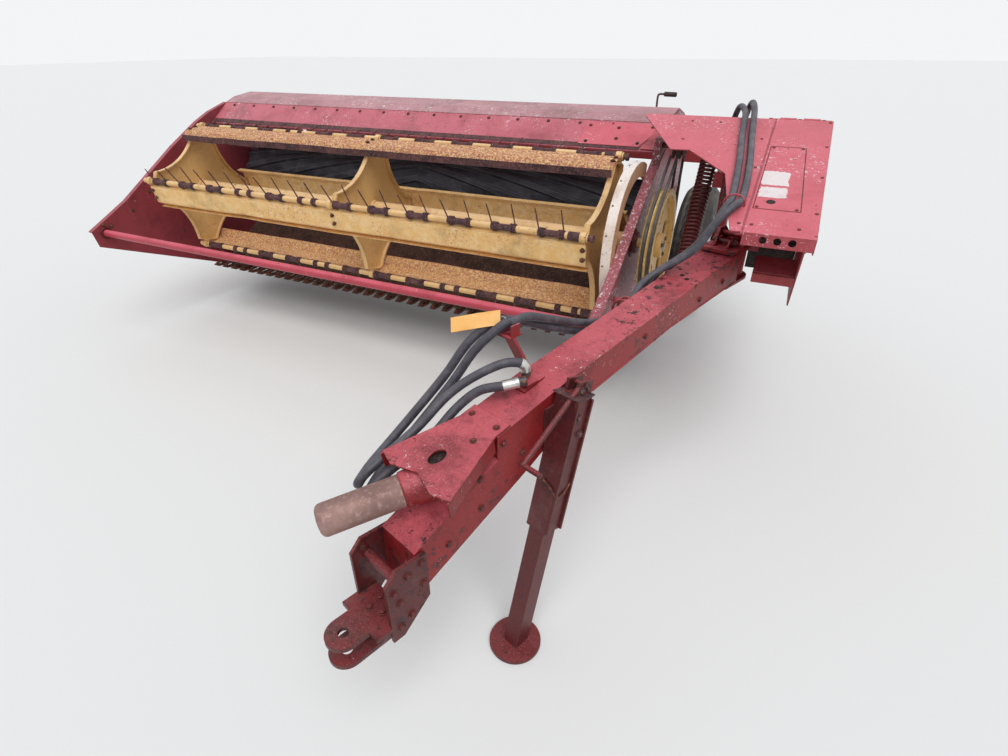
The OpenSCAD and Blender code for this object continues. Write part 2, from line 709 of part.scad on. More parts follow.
module coil(x, a, b, r) {
    d = b - a;
    len = norm(d);
    lean = atan2(-d[0], d[1]);
    translate([x, a[0], a[1]]) rotate([lean, 0, 0]) {
        translate([0, 0, 40]) cylinder(h = len - 80, r = r, $fn = 40);
        translate([-4, 0, 13 + gap]) cylinder(h = 30, r = 5, $fn = 16);
        translate([-4, 0, len - 44 - gap]) cylinder(h = 30, r = 5, $fn = 16);
    }
}

module spring_right() { color([0.35, 0.12, 0.11]) at_origin() coil(xr - 45, spring_lo_r, spring_hi_r, 30); }
module spring_left() { color([0.35, 0.12, 0.11]) at_origin() coil(xl + 240, spring_lo, spring_hi, 34); }

module barrel(x, hi) {
    d = cyl_lo - hi;
    lean = atan2(-d[0], d[1]);
    translate([x, hi[0], hi[1]]) rotate([lean, 0, 0]) {
        difference() {
            union() {
                rotate([0, 90, 0]) translate([0, 0, -12]) cylinder(h = 24, r = 22, $fn = 32);
                translate([0, 0, 18]) cylinder(h = 240, r = 30, $fn = 40);
            }
            rotate([0, 90, 0]) translate([0, 0, -20]) cylinder(h = 40, r = 12 + run, $fn = 32);
            translate([0, 0, 40]) cylinder(h = 250, r = 24, $fn = 40);
        }
    }
}

module piston_rod(x, hi) {
    d = cyl_lo - hi;
    lean = atan2(-d[0], d[1]);
    translate([x, hi[0], hi[1]]) rotate([lean, 0, 0]) difference() {
        union() {
            translate([0, 0, 130]) cylinder(h = norm(d) - 145, r = 16, $fn = 32);
            translate([0, 0, 130]) cylinder(h = 20, r = 23.9, $fn = 40);
            translate([0, 0, norm(d)]) rotate([0, 90, 0]) translate([0, 0, -12])
                cylinder(h = 24, r = 22, $fn = 32);
        }
        translate([0, 0, norm(d)]) rotate([0, 90, 0]) translate([0, 0, -20])
            cylinder(h = 40, r = 12 + slack, $fn = 32);
    }
}

module cyl_barrel_right() { color(black) at_origin() barrel(cyl_xr, cyl_hi); }
module cyl_rod_right() { color(steel) at_origin() piston_rod(cyl_xr, cyl_hi); }
module cyl_barrel_left() { color(black) at_origin() barrel(cyl_xl, cyl_hi); }
module cyl_rod_left() { color(steel) at_origin() piston_rod(cyl_xl, cyl_hi); }

// Hoses

hose_r = 12;

// On the shield, and then along the tongue as [distance out, distance forward, height].
hose_a_back = [[2850, 570, 986], [2855, 560, 1080], [2870, 500, 1195], [2895, 410, 1275],
    [2930, 290, 1268]];
hose_b_back = [[2895, 570, 986], [2900, 560, 1085], [2915, 505, 1205], [2938, 400, 1290],
    [2962, 285, 1282]];
hose_a_top = [[2950, 90], [2970, -90], [2985, -260], [2992, -400]];
hose_b_top = [[2984, 90], [3004, -90], [3018, -260], [3022, -400]];
hose_a_front = [[40, 215, 1074], [22, 262, 1005], [-10, 290, 945], [-44, 318, 906], [-80, 364, 866],
    [-88, 430, 812],
    [-86, 520, 768], [-90, 600, 752], [-92, 690, 764], [-96, 780, 794], [-102, 880, 838], [-118, 980, 884],
    [-124, 1035, 904], [-128, 1066, 909], [-164, 1122, 860], [-192, 1185, 775], [-214, 1280, 690],
    [-221, 1360, 635],
    [-216, 1420, 606], [-195, 1465, 598], [-165, 1488, 615], [-146, 1478, 648], [-138, 1430, 674],
    [-128, 1330, 716], [-124, 1240, 764], [-98, 1175, 802], [-54, 1110, 834], [-22, 1072, 830],
    [-15, 1066, 800]];
hose_b_front = [[67, 224, 1079], [45, 275, 1036], [15, 312, 960], [-25, 342, 915], [-66, 384, 880],
    [-90, 440, 844],
    [-84, 520, 796], [-88, 600, 780], [-90, 690, 792], [-92, 780, 822], [-94, 880, 864], [-92, 980, 906],
    [-96, 1035, 906], [-98, 1070, 909], [-138, 1126, 846], [-170, 1178, 762], [-194, 1270, 672],
    [-201, 1350, 615],
    [-197, 1410, 582], [-172, 1458, 574], [-142, 1478, 595], [-124, 1466, 628], [-116, 1410, 652],
    [-104, 1320, 684], [-98, 1230, 738], [-68, 1180, 780], [-24, 1140, 796], [8, 1092, 804]];

function on_shield(q) = [q[0], q[1], panel_z(q[1]) + 4 + hose_r + 2];
function off_tongue(q) = [tp[0] + q[0] * cos(tongue_in) - q[1] * sin(tongue_in),
    tp[1] - q[0] * sin(tongue_in) - q[1] * cos(tongue_in), q[2]];
function unit(v) = v / norm(v);

module hose(pts) {
    ref = [0.94, -0.33, 0];
    n = len(pts);
    rings = [for (i = [0:n - 1]) let (t = unit(pts[min(i + 1, n - 1)] - pts[max(i - 1, 0)]),
        u = unit(cross(t, ref)), v = cross(u, t))
        for (k = [0:7]) pts[i] + hose_r * (cos(k * 45) * u + sin(k * 45) * v)];
    faces = concat([[for (k = [0:7]) 7 - k]], [[for (k = [0:7]) (n - 1) * 8 + k]],
        [for (i = [0:n - 2], k = [0:7]) [i * 8 + k, i * 8 + (k + 1) % 8, (i + 1) * 8 + (k + 1) % 8,
        (i + 1) * 8 + k]]);
    polyhedron(rings, faces);
}

module hose_a() {
    color(black) at_origin() hose(concat(hose_a_back, [for (q = hose_a_top) on_shield(q)],
        [for (q = hose_a_front) off_tongue(q)]));
}

module hose_b() {
    color(black) at_origin() hose(concat(hose_b_back, [for (q = hose_b_top) on_shield(q)],
        [for (q = hose_b_front) off_tongue(q)]));
}

carrier_frame();
drive_bay();
gearbox();
shield_panel();
shield_lid();
tyre_left();
rim_left();
tyre_right();
rim_right();
tongue_beam();
bell_cover();
hitch();
hose_stand();
driveline();
jack_tube();
jack_leg();
end_sheet_right();
end_sheet_left();
fascia();
push_bar();
floor_pan();
cutterbar();
knife();
skid_shoes();
cam_band();
hood();
header_links();
reel_core();
reel_bats();
tine_bars();
reel_sheave();
reel_belts();
belt_sheave();
roll_upper();
roll_lower();
wing_right();
wing_left();
spring_right();
spring_left();
cyl_barrel_right();
cyl_rod_right();
cyl_barrel_left();
cyl_rod_left();
hose_a();
hose_b();
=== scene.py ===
import random
from math import acos, asin, atan, atan2, cos, exp, pi, radians, sin, tan

import bmesh
import bpy
from mathutils import Matrix, Vector


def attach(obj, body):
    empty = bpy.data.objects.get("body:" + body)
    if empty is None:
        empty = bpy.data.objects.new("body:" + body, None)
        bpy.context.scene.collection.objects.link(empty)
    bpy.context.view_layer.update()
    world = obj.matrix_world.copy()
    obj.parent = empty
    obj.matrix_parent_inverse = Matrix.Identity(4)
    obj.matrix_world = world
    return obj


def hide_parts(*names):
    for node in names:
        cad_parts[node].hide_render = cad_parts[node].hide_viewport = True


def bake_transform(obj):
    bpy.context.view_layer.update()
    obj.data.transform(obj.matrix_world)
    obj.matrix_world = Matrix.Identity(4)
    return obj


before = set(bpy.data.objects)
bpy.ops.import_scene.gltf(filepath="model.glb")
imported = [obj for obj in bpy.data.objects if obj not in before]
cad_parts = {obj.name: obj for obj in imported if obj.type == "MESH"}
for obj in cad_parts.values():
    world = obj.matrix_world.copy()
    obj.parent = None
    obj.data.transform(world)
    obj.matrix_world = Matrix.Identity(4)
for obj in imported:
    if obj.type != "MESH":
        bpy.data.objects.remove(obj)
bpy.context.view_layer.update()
scene = bpy.context.scene

# Places
# Lengths below are in millimetres. MACHINE counts X from the reel's right end and Y from the
# reel's axis, and TONGUE counts X outwards from the tongue's middle and -Y towards the hitch.
MACHINE = Matrix.Translation((-1.4655, 0.0106655, 0)) @ Matrix.Scale(0.001, 4)
PIVOT = (3019, -236)
TONGUE_IN = radians(19.2)
TONGUE = MACHINE @ Matrix.Translation((*PIVOT, 0)) @ Matrix.Rotation(-TONGUE_IN, 4, "Z")
JACK_LEAN = radians(15)
JACK = TONGUE @ Matrix.Translation((98, -1010, 780)) @ Matrix.Rotation(-JACK_LEAN, 4, "X")
XR, XL = -220, 2600             # inner faces of the end sheets
SHEET_T = 5
BAY_X = 3236                    # outer face of the drive bay
REEL_Z, REEL_R, REEL_L, BATS, TUBE_Y = 780, 334, 2500, 4, 12
REEL_TURN = radians(-14)
ROLL_Y, ROLL_Z = 642, 511.5     # axis of the lower roll
AXLE_Y, TYRE_R = 1330, 375
PANEL_Y, PANEL_Z, PANEL_RISE = -565, 1026, 0.252
PANEL_T = 4.1                   # a 4 mm sheet, measured upright on its slope


def panel_top(y):
    """Height of the left shield's upper face."""
    return PANEL_Z + (y - PANEL_Y) * PANEL_RISE + PANEL_T


def off_tongue(out, ahead, z):
    """A place given from the tongue, in the machine's millimetres."""
    c, s = cos(TONGUE_IN), sin(TONGUE_IN)
    return (PIVOT[0] + out * c - ahead * s, PIVOT[1] - out * s - ahead * c, z)


# Camera
def camera():
    """The photo's angle and lens."""
    data = bpy.data.cameras.new("camera")
    data.sensor_width, data.lens = 36.0, 36.0 * 560 / 1008
    data.clip_start, data.clip_end = 0.05, 200
    cam = bpy.data.objects.new("camera", data)
    scene.collection.objects.link(cam)
    yaw, pitch, roll = radians(25.84), radians(31.01), radians(0.35)
    turn = Matrix.Rotation(yaw, 4, "Z") @ Matrix.Rotation(pi / 2 - pitch, 4, "X")
    cam.matrix_world = Matrix.Translation((1.6635, -2.3363, 1.515)) @ turn @ Matrix.Rotation(-roll, 4, "Z")
    scene.camera = cam


camera()


# Materials
# Every colour is given as it looks on a screen: red, green and blue from 0 to 255.
RUST_DARK, RUST_MID, RUST_LIGHT = (66, 42, 38), (104, 66, 52), (158, 104, 74)
CHALK, CHALK_RED = (232, 222, 220), (226, 168, 172)
SOOT, MUD = (44, 30, 32), (118, 92, 86)


def linear(colour):
    """A screen colour as the renderer counts it."""
    parts = [c / 255 for c in colour]
    return (*[p / 12.92 if p <= 0.04 else ((p + 0.055) / 1.055) ** 2.4 for p in parts], 1)


class Nodes:
    """Short forms for building a material's nodes."""

    def __init__(self, name):
        self.mat = bpy.data.materials.new(name)
        self.mat.use_nodes = True
        self.tree = self.mat.node_tree
        self.bsdf = self.tree.nodes["Principled BSDF"]
        self.coord = self.add("ShaderNodeTexCoord")

    def fill(self, node, inputs):
        """Sets a node's inputs, given as pairs of a name and a value or socket."""
        for k, v in inputs:
            if isinstance(v, bpy.types.NodeSocket):
                self.tree.links.new(v, node.inputs[k])
            else:
                node.inputs[k].default_value = v

    def add(self, kind, inputs=(), **values):
        node = self.tree.nodes.new(kind)
        for k, v in values.items():
            setattr(node, k, v)
        self.fill(node, inputs)
        return node

    def noise(self, scale, detail=4, rough=0.6, offset=(0, 0, 0), squeeze=None):
        place = self.coord.outputs["Object"]
        if squeeze or any(offset):
            inputs = (("Vector", place), ("Scale", squeeze or (1, 1, 1)), ("Location", offset))
            place = self.add("ShaderNodeMapping", inputs).outputs["Vector"]
        inputs = (("Vector", place), ("Scale", scale), ("Detail", detail), ("Roughness", rough))
        return self.add("ShaderNodeTexNoise", inputs).outputs["Fac"]

    def steps(self, value, low, high, least=0, most=1):
        """value from low..high to least..most, smooth and clamped."""
        inputs = (("Value", value), ("From Min", low), ("From Max", high),
                  ("To Min", least), ("To Max", most))
        return self.add("ShaderNodeMapRange", inputs, interpolation_type="SMOOTHSTEP").outputs["Result"]

    def spots(self, grain, low, high, least=0, most=1):
        """Noise put through steps; grain holds what noise takes, in its order."""
        return self.steps(self.noise(*grain), low, high, least, most)

    def math(self, op, a, b):
        return self.add("ShaderNodeMath", ((0, a), (1, b)), operation=op).outputs[0]

    def times(self, a, b):
        return self.math("MULTIPLY", a, b)

    def plus(self, a, b):
        return self.math("ADD", a, b)

    def larger(self, a, b):
        return self.math("MAXIMUM", a, b)

    def mix(self, fac, a, b):
        """b over a by fac; each is a socket or a screen colour."""
        a, b = [c if isinstance(c, bpy.types.NodeSocket) else linear(c) for c in (a, b)]
        return self.add("ShaderNodeMix", (("Factor", fac), (6, a), (7, b)), data_type="RGBA").outputs[2]

    def rise(self, coordinate, low, high):
        """Steps over a coordinate's Z: "Normal" for what faces up, "Object" for height in metres."""
        s = self.add("ShaderNodeSeparateXYZ", ((0, self.coord.outputs[coordinate]),))
        return self.steps(s.outputs["Z"], low, high)

    def edge(self, radius=0.004):
        """1 along sharp edges."""
        bevel = self.add("ShaderNodeBevel", (("Radius", radius),), samples=4)
        true = self.add("ShaderNodeNewGeometry")
        normals = ((0, bevel.outputs["Normal"]), (1, true.outputs["Normal"]))
        dot = self.add("ShaderNodeVectorMath", normals, operation="DOT_PRODUCT")
        return self.steps(dot.outputs["Value"], 0.995, 0.93)

    def bump(self, value, strength):
        n = self.add("ShaderNodeBump", (("Strength", strength), ("Distance", 0.001), ("Height", value)))
        self.fill(self.bsdf, (("Normal", n.outputs["Normal"]),))

    def finish(self, colour, rough, metal=0.0, specular=0.5):
        self.fill(self.bsdf, (("Base Color", colour), ("Roughness", rough), ("Metallic", metal),
                              ("Specular IOR Level", specular)))
        return self.mat


def painted(name, top, side, deep, rust=0.5, flake=0.5, grime=0.4, edge=0.6, fine=1.0, dark=0.0):
    """Old paint: paler where it faces up, from fading and a painted reflection of the sky, rusty in patches
    and along edges, with pale flakes and dirt. rust, flake, grime and dark (greasy black spots) run from 0 to
    about 1, and -1 leaves one out.
    edge is the wear along edges, and fine above 1 makes every mark smaller."""
    n = Nodes(name)
    # what faces up takes the top colour: partly fading, partly a painted reflection of the sky
    fade_and_sky_sheen = n.times(n.rise("Normal", 0.25, 0.85), n.spots((3.1, 5, 0.62), 0.2, 0.6, 0.6, 1.0))
    colour = n.mix(fade_and_sky_sheen, side, top)
    colour = n.mix(n.spots((6.0, 7, 0.72, (3, 1, 7)), 0.46, 0.74, 0, 0.75), colour, deep)
    colour = n.mix(n.spots((30 * fine, 5, 0.7, (5, 2, 1), (1, 1, 0.3)), 0.52, 0.78, 0, 0.5), colour, deep)
    # a fine bloom of chalking, stronger on top
    bloom = n.times(n.spots((210 * fine, 3, 0.6), 0.50, 0.78, 0, 0.35), n.steps(fade_and_sky_sheen, 0, 0.8, 0.2, 1.0))
    bloom = n.times(bloom, n.spots((8, 3, 0.5, (2, 2, 2)), 0.35, 0.65, 0.3, 1.0))
    colour = n.mix(bloom, colour, CHALK_RED)
    # ragged pale flakes in clusters
    cluster = n.spots((4.6, 4, 0.6, (1, 8, 3)), 0.60 - 0.13 * flake, 0.72 - 0.11 * flake)
    flakes = n.spots((62 * fine, 6, 0.82, (9, 4, 2)), 0.64 - 0.06 * flake, 0.665 - 0.06 * flake)
    specks = n.spots((150 * fine, 3, 0.7, (4, 9, 6)), 0.70 - 0.04 * flake, 0.72 - 0.04 * flake)
    pale = n.larger(n.times(flakes, cluster), n.times(specks, n.steps(cluster, 0.0, 0.6, 0.08, 1.0)))
    colour = n.mix(n.times(pale, 0.9 if flake > 0 else 0.0), colour, CHALK)
    # rust in ragged patches, pits and along edges
    patch = n.spots((13.0 * fine, 9, 0.80, (2, 6, 4)), 0.70 - 0.14 * rust, 0.735 - 0.14 * rust)
    pits = n.spots((75 * fine, 5, 0.72, (7, 7, 1)), 0.64 - 0.05 * rust, 0.665 - 0.05 * rust)
    pits = n.times(pits, n.spots((4.0, 3, 0.5, (4, 4, 9)), 0.40, 0.58))
    wear = n.times(n.edge(), n.spots((38, 4, 0.7, (8, 1, 1)), 0.40, 0.58, 0, edge))
    rusty = n.larger(n.larger(patch, pits), wear)
    rust_colour = n.mix(n.spots((60, 5, 0.7), 0.3, 0.7), RUST_DARK, RUST_MID)
    rust_colour = n.mix(n.spots((230, 3, 0.6), 0.55, 0.75, 0, 0.7), rust_colour, RUST_LIGHT)
    colour = n.mix(rusty, colour, rust_colour)
    if dark > 0:
        black = n.spots((34 * fine, 6, 0.78, (12, 3, 5)), 0.66 - 0.1 * dark, 0.69 - 0.1 * dark)
        black = n.times(black, n.spots((3.4, 3, 0.5, (5, 12, 3)), 0.42, 0.56))
        colour = n.mix(n.times(black, 0.9), colour, SOOT)
    # dust and dried mud
    dirt = n.spots((2.3, 8, 0.75, (6, 3, 8)), 0.64 - 0.2 * grime, 0.82 - 0.1 * grime, 0, 0.8)
    colour = n.mix(dirt, colour, MUD)
    rough = n.steps(n.plus(rusty, n.times(fade_and_sky_sheen, 0.35)), 0.0, 1.0, 0.40, 0.85)
    height = n.plus(n.times(rusty, -0.6), n.times(n.noise(320 * fine, 3, 0.6), 0.25))
    n.bump(n.plus(height, n.times(pale, 0.3)), 0.5)
    return n.finish(colour, rough, 0.0, 0.38)


def speckled(name, base, light, rust_tone):
    """Ochre paint eaten by fine rust specks, thickest on the upper bat and thick on the lowest."""
    n = Nodes(name)
    top = n.larger(n.rise("Object", 1.02, 1.06), n.times(n.rise("Object", 0.66, 0.62), 0.75))
    colour = n.mix(n.spots((24, 5, 0.7, (1, 2, 3)), 0.35, 0.7, 0, 0.8), base, light)
    colour = n.mix(n.spots((5.2, 6, 0.7, (7, 2, 3)), 0.5, 0.75, 0, 0.6), colour, (150, 128, 84))
    fine = n.noise(104, 6, 0.80, (3, 5, 1))
    cover = n.noise(6.5, 5, 0.7, (8, 5, 4))
    some = n.times(n.steps(fine, 0.5, 0.66), n.steps(cover, 0.42, 0.60))
    many = n.times(n.steps(fine, 0.42, 0.54, 0, 0.95), n.steps(cover, 0.2, 0.42, 0.8, 1.0))
    rusty = n.plus(n.times(some, n.math("SUBTRACT", 1.0, top)), n.times(many, top))
    rusty = n.larger(rusty, n.times(n.edge(0.005), n.spots((30, 4, 0.7), 0.36, 0.6, 0.2, 0.9)))
    tone = n.mix(n.spots((120, 4, 0.7, (5, 5, 5)), 0.35, 0.65), rust_tone, (150, 84, 76))
    tone = n.mix(n.spots((200, 2, 0.6, (5, 8, 5)), 0.62, 0.7), tone, (246, 204, 160))
    colour = n.mix(rusty, colour, tone)
    n.bump(n.plus(n.times(rusty, -0.7), n.times(n.noise(260, 4, 0.6), 0.3)), 0.55)
    return n.finish(colour, n.steps(rusty, 0, 1, 0.5, 0.85), 0.0, 0.35)


def rusted(name, dark=RUST_DARK, mid=RUST_MID, light=RUST_LIGHT, scale=1.0, shine=0.0):
    """Bare rusty iron; shine is how far it is rubbed bright."""
    n = Nodes(name)
    colour = n.mix(n.spots((11 * scale, 7, 0.7), 0.32, 0.68), dark, mid)
    colour = n.mix(n.spots((85 * scale, 5, 0.7, (3, 3, 3)), 0.50, 0.72), colour, light)
    colour = n.mix(n.spots((300 * scale, 2, 0.5), 0.62, 0.8, 0, 0.5), colour, (176, 132, 104))
    n.bump(n.noise(210 * scale, 5, 0.7), 0.5)
    rough = n.spots((40, 4), 0.3, 0.7, 0.55 - 0.2 * shine, 0.9 - 0.35 * shine)
    return n.finish(colour, rough, shine * 0.8, 0.3)


def rubber(name, base, dust, scale=1.0, amount=0.5, gloss=0.0, worn=0.0):
    """Rubber with an amount of dust, most where it faces up; worn is how pale its edges are."""
    n = Nodes(name)
    colour = n.mix(n.spots((14 * scale, 6, 0.7), 0.42, 0.78, 0, amount), base, dust)
    colour = n.mix(n.spots((160 * scale, 3, 0.6), 0.6, 0.8, 0, amount * 0.6), colour, dust)
    colour = n.mix(n.times(n.rise("Normal", 0.2, 1.0), 0.45 * amount), colour, dust)
    if worn:
        colour = n.mix(n.times(n.edge(0.008), worn), colour, dust)
    n.bump(n.noise(240 * scale, 4, 0.6), 0.3)
    rough = n.spots((20, 4), 0.3, 0.7, 0.5 - 0.2 * gloss, 0.8 - 0.25 * gloss)
    return n.finish(colour, rough, 0.0, 0.4)


def bare_metal(name, base, stain, rough=(0.28, 0.5)):
    """Bright metal with stains and fine scratches along Z."""
    n = Nodes(name)
    colour = n.mix(n.spots((45, 6, 0.7), 0.45, 0.75, 0, 0.8), base, stain)
    colour = n.mix(n.spots((400, 2, 0.5, (0, 0, 0), (1, 1, 0.1)), 0.5, 0.8, 0, 0.4), colour, stain)
    n.bump(n.noise(500, 2, 0.5, squeeze=(1, 1, 0.08)), 0.12)
    return n.finish(colour, n.spots((70, 4), 0.3, 0.7, *rough), 0.75)


# Colours: painted ones give the colour on top (faded, with a painted reflection of the sky), at the side and
# in deep patches, then the amounts.
RED = painted("red_paint", (200, 98, 108), (152, 52, 56), (112, 38, 42), 0.4, 0.7, 0.4, 0.7)
RED_SHIELD = painted("red_shield", (210, 102, 115), (158, 62, 70), (190, 84, 95), 0.10, 0.95, 0.2, 0.5)
RED_FASCIA = painted("red_fascia", (196, 106, 118), (142, 56, 62), (146, 66, 74), 0.35, 1.0, 0.55, 0.8)
RED_TONGUE = painted("red_tongue", (196, 88, 98), (136, 26, 28), (84, 18, 20), 0.45, 0.6, 0.3, 0.8, dark=1.1)
RED_WORN = painted("red_worn", (126, 50, 52), (88, 28, 30), (58, 26, 28), 0.8, 0.2, 0.5, 1.0, dark=0.9)
RED_STRAP = painted("red_strap", (160, 82, 92), (132, 54, 62), (82, 44, 50), 0.7, 1.35, 0.4, 0.9, 1.2)
RED_SHEET = painted("red_sheet", (166, 84, 92), (142, 58, 66), (104, 42, 50), 0.35, 0.25, 0.5, 0.6)
RED_BAR = painted("red_bar", (206, 92, 108), (176, 60, 74), (156, 52, 62), 0.2, 0.7, 0.1, 0.2)
OCHRE = painted("reel_paint", (240, 202, 150), (222, 180, 118), (190, 148, 98), 0.45, 0.2, 0.3, 0.7, 1.3)
OCHRE_BAT = speckled("reel_bat_paint", (236, 190, 118), (246, 214, 160), (178, 104, 94))
OCHRE_SHEAVE = painted("sheave_paint", (222, 188, 128), (220, 182, 112), (196, 150, 90), 0.45, 0.2, 0.4, 0.9)
BAND_OUT = painted("band_paint", (240, 230, 222), (234, 218, 204), (186, 158, 136),
                   0.65, 0.0, 0.3, 0.5, 2.0, 0.5)
TAN = painted("tan_paint", (214, 170, 130), (206, 160, 120), (172, 124, 92), 0.4, 0.4, 0.35, 0.5, 1.4)
RIM_WHITE = painted("rim_paint", (222, 218, 210), (214, 208, 200), (170, 160, 148), 0.6, 0.3, 0.5, 1.0)
SPRING_RED = painted("spring_paint", (122, 48, 50), (96, 34, 36), (62, 28, 30), 0.8, 0.5, 0.3, 0.2, 2.0)
HOOD_PAINT = painted("hood_paint", (190, 138, 146), (150, 84, 92), (146, 112, 108), 0.4, 1.2, 1.1, 0.8)
RUST = rusted("rust")
RUST_PURPLE = rusted("rust_purple", (56, 40, 48), (98, 66, 66), (146, 102, 88), 1.4)
PAN = rusted("pan_dirt", (58, 40, 36), (92, 64, 54), (120, 92, 74), 0.7)
BRONZE = rusted("burnished", (134, 104, 98), (162, 130, 122), (176, 146, 138), 0.9, 0.45)
STEEL = bare_metal("steel", (168, 164, 158), (112, 86, 72))
ZINC = bare_metal("zinc", (206, 204, 200), (150, 140, 130), (0.2, 0.4))
# dark iron for the cylinders' ports; painted shade for the holes, under the bell cover and inside the bay
DARK = rusted("dark_iron_and_painted_shade", (30, 26, 27), (52, 42, 40), (84, 62, 52), 1.2)
ROLL_RUBBER = rubber("roll_rubber", (44, 45, 52), (104, 102, 110), 0.8, 0.5, 0.6, worn=0.8)
TYRE_RUBBER = rubber("tyre_rubber", (44, 43, 45), (118, 110, 100), 1.0, 0.7)
HOSE_RUBBER = rubber("hose_rubber", (62, 60, 68), (116, 112, 118), 2.2, 0.65, 0.6)
BELT_RUBBER = rubber("belt_rubber", (60, 58, 62), (120, 112, 108), 2.0, 0.6)
GRIP = rubber("grip", (48, 38, 38), (90, 70, 66), 3.0, 0.5)
DECAL = painted("bare_patch", (232, 222, 222), (228, 214, 214), (206, 168, 160), 0.35, 0.3, 0.15, 0.2, 2.5)
TAG = painted("tag_card", (246, 190, 112), (240, 182, 104), (232, 168, 92), -1.0, -1.0, -0.6, 0.0, 3.0)


# Mesh helpers
def axes(axis):
    """A direction and two directions square to it."""
    a = Vector(axis).normalized()
    u = a.orthogonal().normalized()
    return a, u, a.cross(u)


def around(u, w, t):
    """The direction at angle t from u towards w."""
    return u * cos(t) + w * sin(t)


def sheet(surface, outline, low, high):
    """The two faces of a thin sheet on a surface, which turns (a, b, lift) into a place."""
    return [[surface(a, b, lift) for a, b in outline] for lift in (low, high)]


class Shape:
    """Collects geometry given in millimetres of a frame, and turns it into a piece that rides on a body."""

    def __init__(self, place=MACHINE):
        self.bm = bmesh.new()
        self.place = place

    def skin(self, rings, closed=False):
        """Faces through rings of points, joined end to start, or else capped at both ends."""
        k, n = len(rings[0]), len(rings)
        made = [self.bm.verts.new(self.place @ Vector(v)) for ring in rings for v in ring]
        faces = [(i * k + j, i * k + (j + 1) % k, (i + 1) % n * k + (j + 1) % k, (i + 1) % n * k + j)
                 for i in range(n if closed else n - 1) for j in range(k)]
        if not closed:
            faces += [tuple(reversed(range(k))), tuple(range((n - 1) * k, n * k))]
        for face in faces:
            self.bm.faces.new([made[i] for i in face])

    def prism(self, points, low, high, axis="z"):
        """An outline drawn out along an axis; it is given in the other two axes, in their order."""
        at = "xyz".index(axis)
        self.skin([[(*p[:at], h, *p[at:]) for p in points] for h in (low, high)])

    def box(self, x0, x1, y0, y1, z0, z1):
        self.prism([(x0, y0), (x1, y0), (x1, y1), (x0, y1)], z0, z1)

    def spun(self, profile, axis, centre, steps=24):
        """A closed (radius, along) outline turned about an axis through centre."""
        a, u, w = axes(axis)
        spokes = [around(u, w, 2 * pi * i / steps) for i in range(steps)]
        self.skin([[Vector(centre) + d * r + a * h for r, h in profile] for d in spokes], closed=True)

    def tube(self, path, r, sides=8, closed=False):
        """A round bar of radius r, or one radius for each point, along a path."""
        p = [Vector(q) for q in path]
        n = len(p)
        radii = r if isinstance(r, (list, tuple)) else [r] * n
        rings, u = [], None
        for i in range(n):
            before = p[i - 1] if closed else p[max(i - 1, 0)]
            after = p[(i + 1) % n] if closed else p[min(i + 1, n - 1)]
            t = (after - before).normalized()
            u = t.orthogonal().normalized() if u is None else (u - t * u.dot(t)).normalized()
            w = t.cross(u)
            rings.append([p[i] + around(u, w, 2 * pi * k / sides) * radii[i] for k in range(sides)])
        self.skin(rings, closed)

    def bar(self, a, b, r, sides=12):
        """A round bar from a to b."""
        self.tube([a, b], r, sides)

    def bolt(self, at, axis, r=9, h=7, washer=True):
        """A hexagonal head, turned by its place, standing on a surface with its washer."""
        a, u, w = axes(axis)
        base = Vector(at) - a * 0.5
        if washer:
            self.spun([(0.5, 0), (r * 1.45, 0), (r * 1.45, 1.6), (0.5, 1.6)], a, base, 16)
        turn = (at[0] * 7 + at[1] * 3 + at[2]) % 60
        six = [around(u, w, radians(turn + 60 * k)) for k in range(6)]
        levels = ((1.5, r), (1.5 + h * 0.8, r), (1.5 + h, r * 0.82))
        self.skin([[base + a * lift + d * wide for d in six] for lift, wide in levels])

    def bolts_round(self, centre, ring, count, first, out, r, h, washer=True):
        """Bolts on a circle round an axis along X, the first at an angle in degrees."""
        x, y, z = centre
        for k in range(count):
            t = radians(360 / count * k + first)
            self.bolt((x, y + ring * cos(t), z + ring * sin(t)), (out, 0, 0), r, h, washer)

    def piece(self, name, body, material, slot, smooth=35, bevel=0.0):
        bmesh.ops.recalc_face_normals(self.bm, faces=self.bm.faces)
        mesh = bpy.data.meshes.new(name)
        self.bm.to_mesh(mesh)
        self.bm.free()
        obj = bpy.data.objects.new(name, mesh)
        scene.collection.objects.link(obj)
        for m in material if isinstance(material, (list, tuple)) else [material]:
            mesh.materials.append(m)
        mesh.polygons.foreach_set("use_smooth", [True] * len(mesh.polygons))
        mesh.set_sharp_from_angle(angle=radians(smooth))
        if bevel:
            mod = obj.modifiers.new("bevel", "BEVEL")
            mod.width, mod.segments, mod.limit_method, mod.angle_limit = bevel, 2, "ANGLE", radians(50)
        if body:
            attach(obj, body)
        return obj


def smooth_path(points, per=6):
    """A Catmull-Rom curve through the points."""
    p = [Vector(q) for q in points]
    p = [2 * p[0] - p[1]] + p + [2 * p[-1] - p[-2]]
    out = []
    for a, b, c, d in zip(p, p[1:], p[2:], p[3:]):
        for t in [k / per for k in range(per)]:
            bend = (2 * a - 5 * b + 4 * c - d) * t * t + (3 * b - a - 3 * c + d) * t ** 3
            out.append(0.5 * (2 * b + (c - a) * t + bend))
    return out + [p[-2]]


# Hoses
HOSE_R = 12
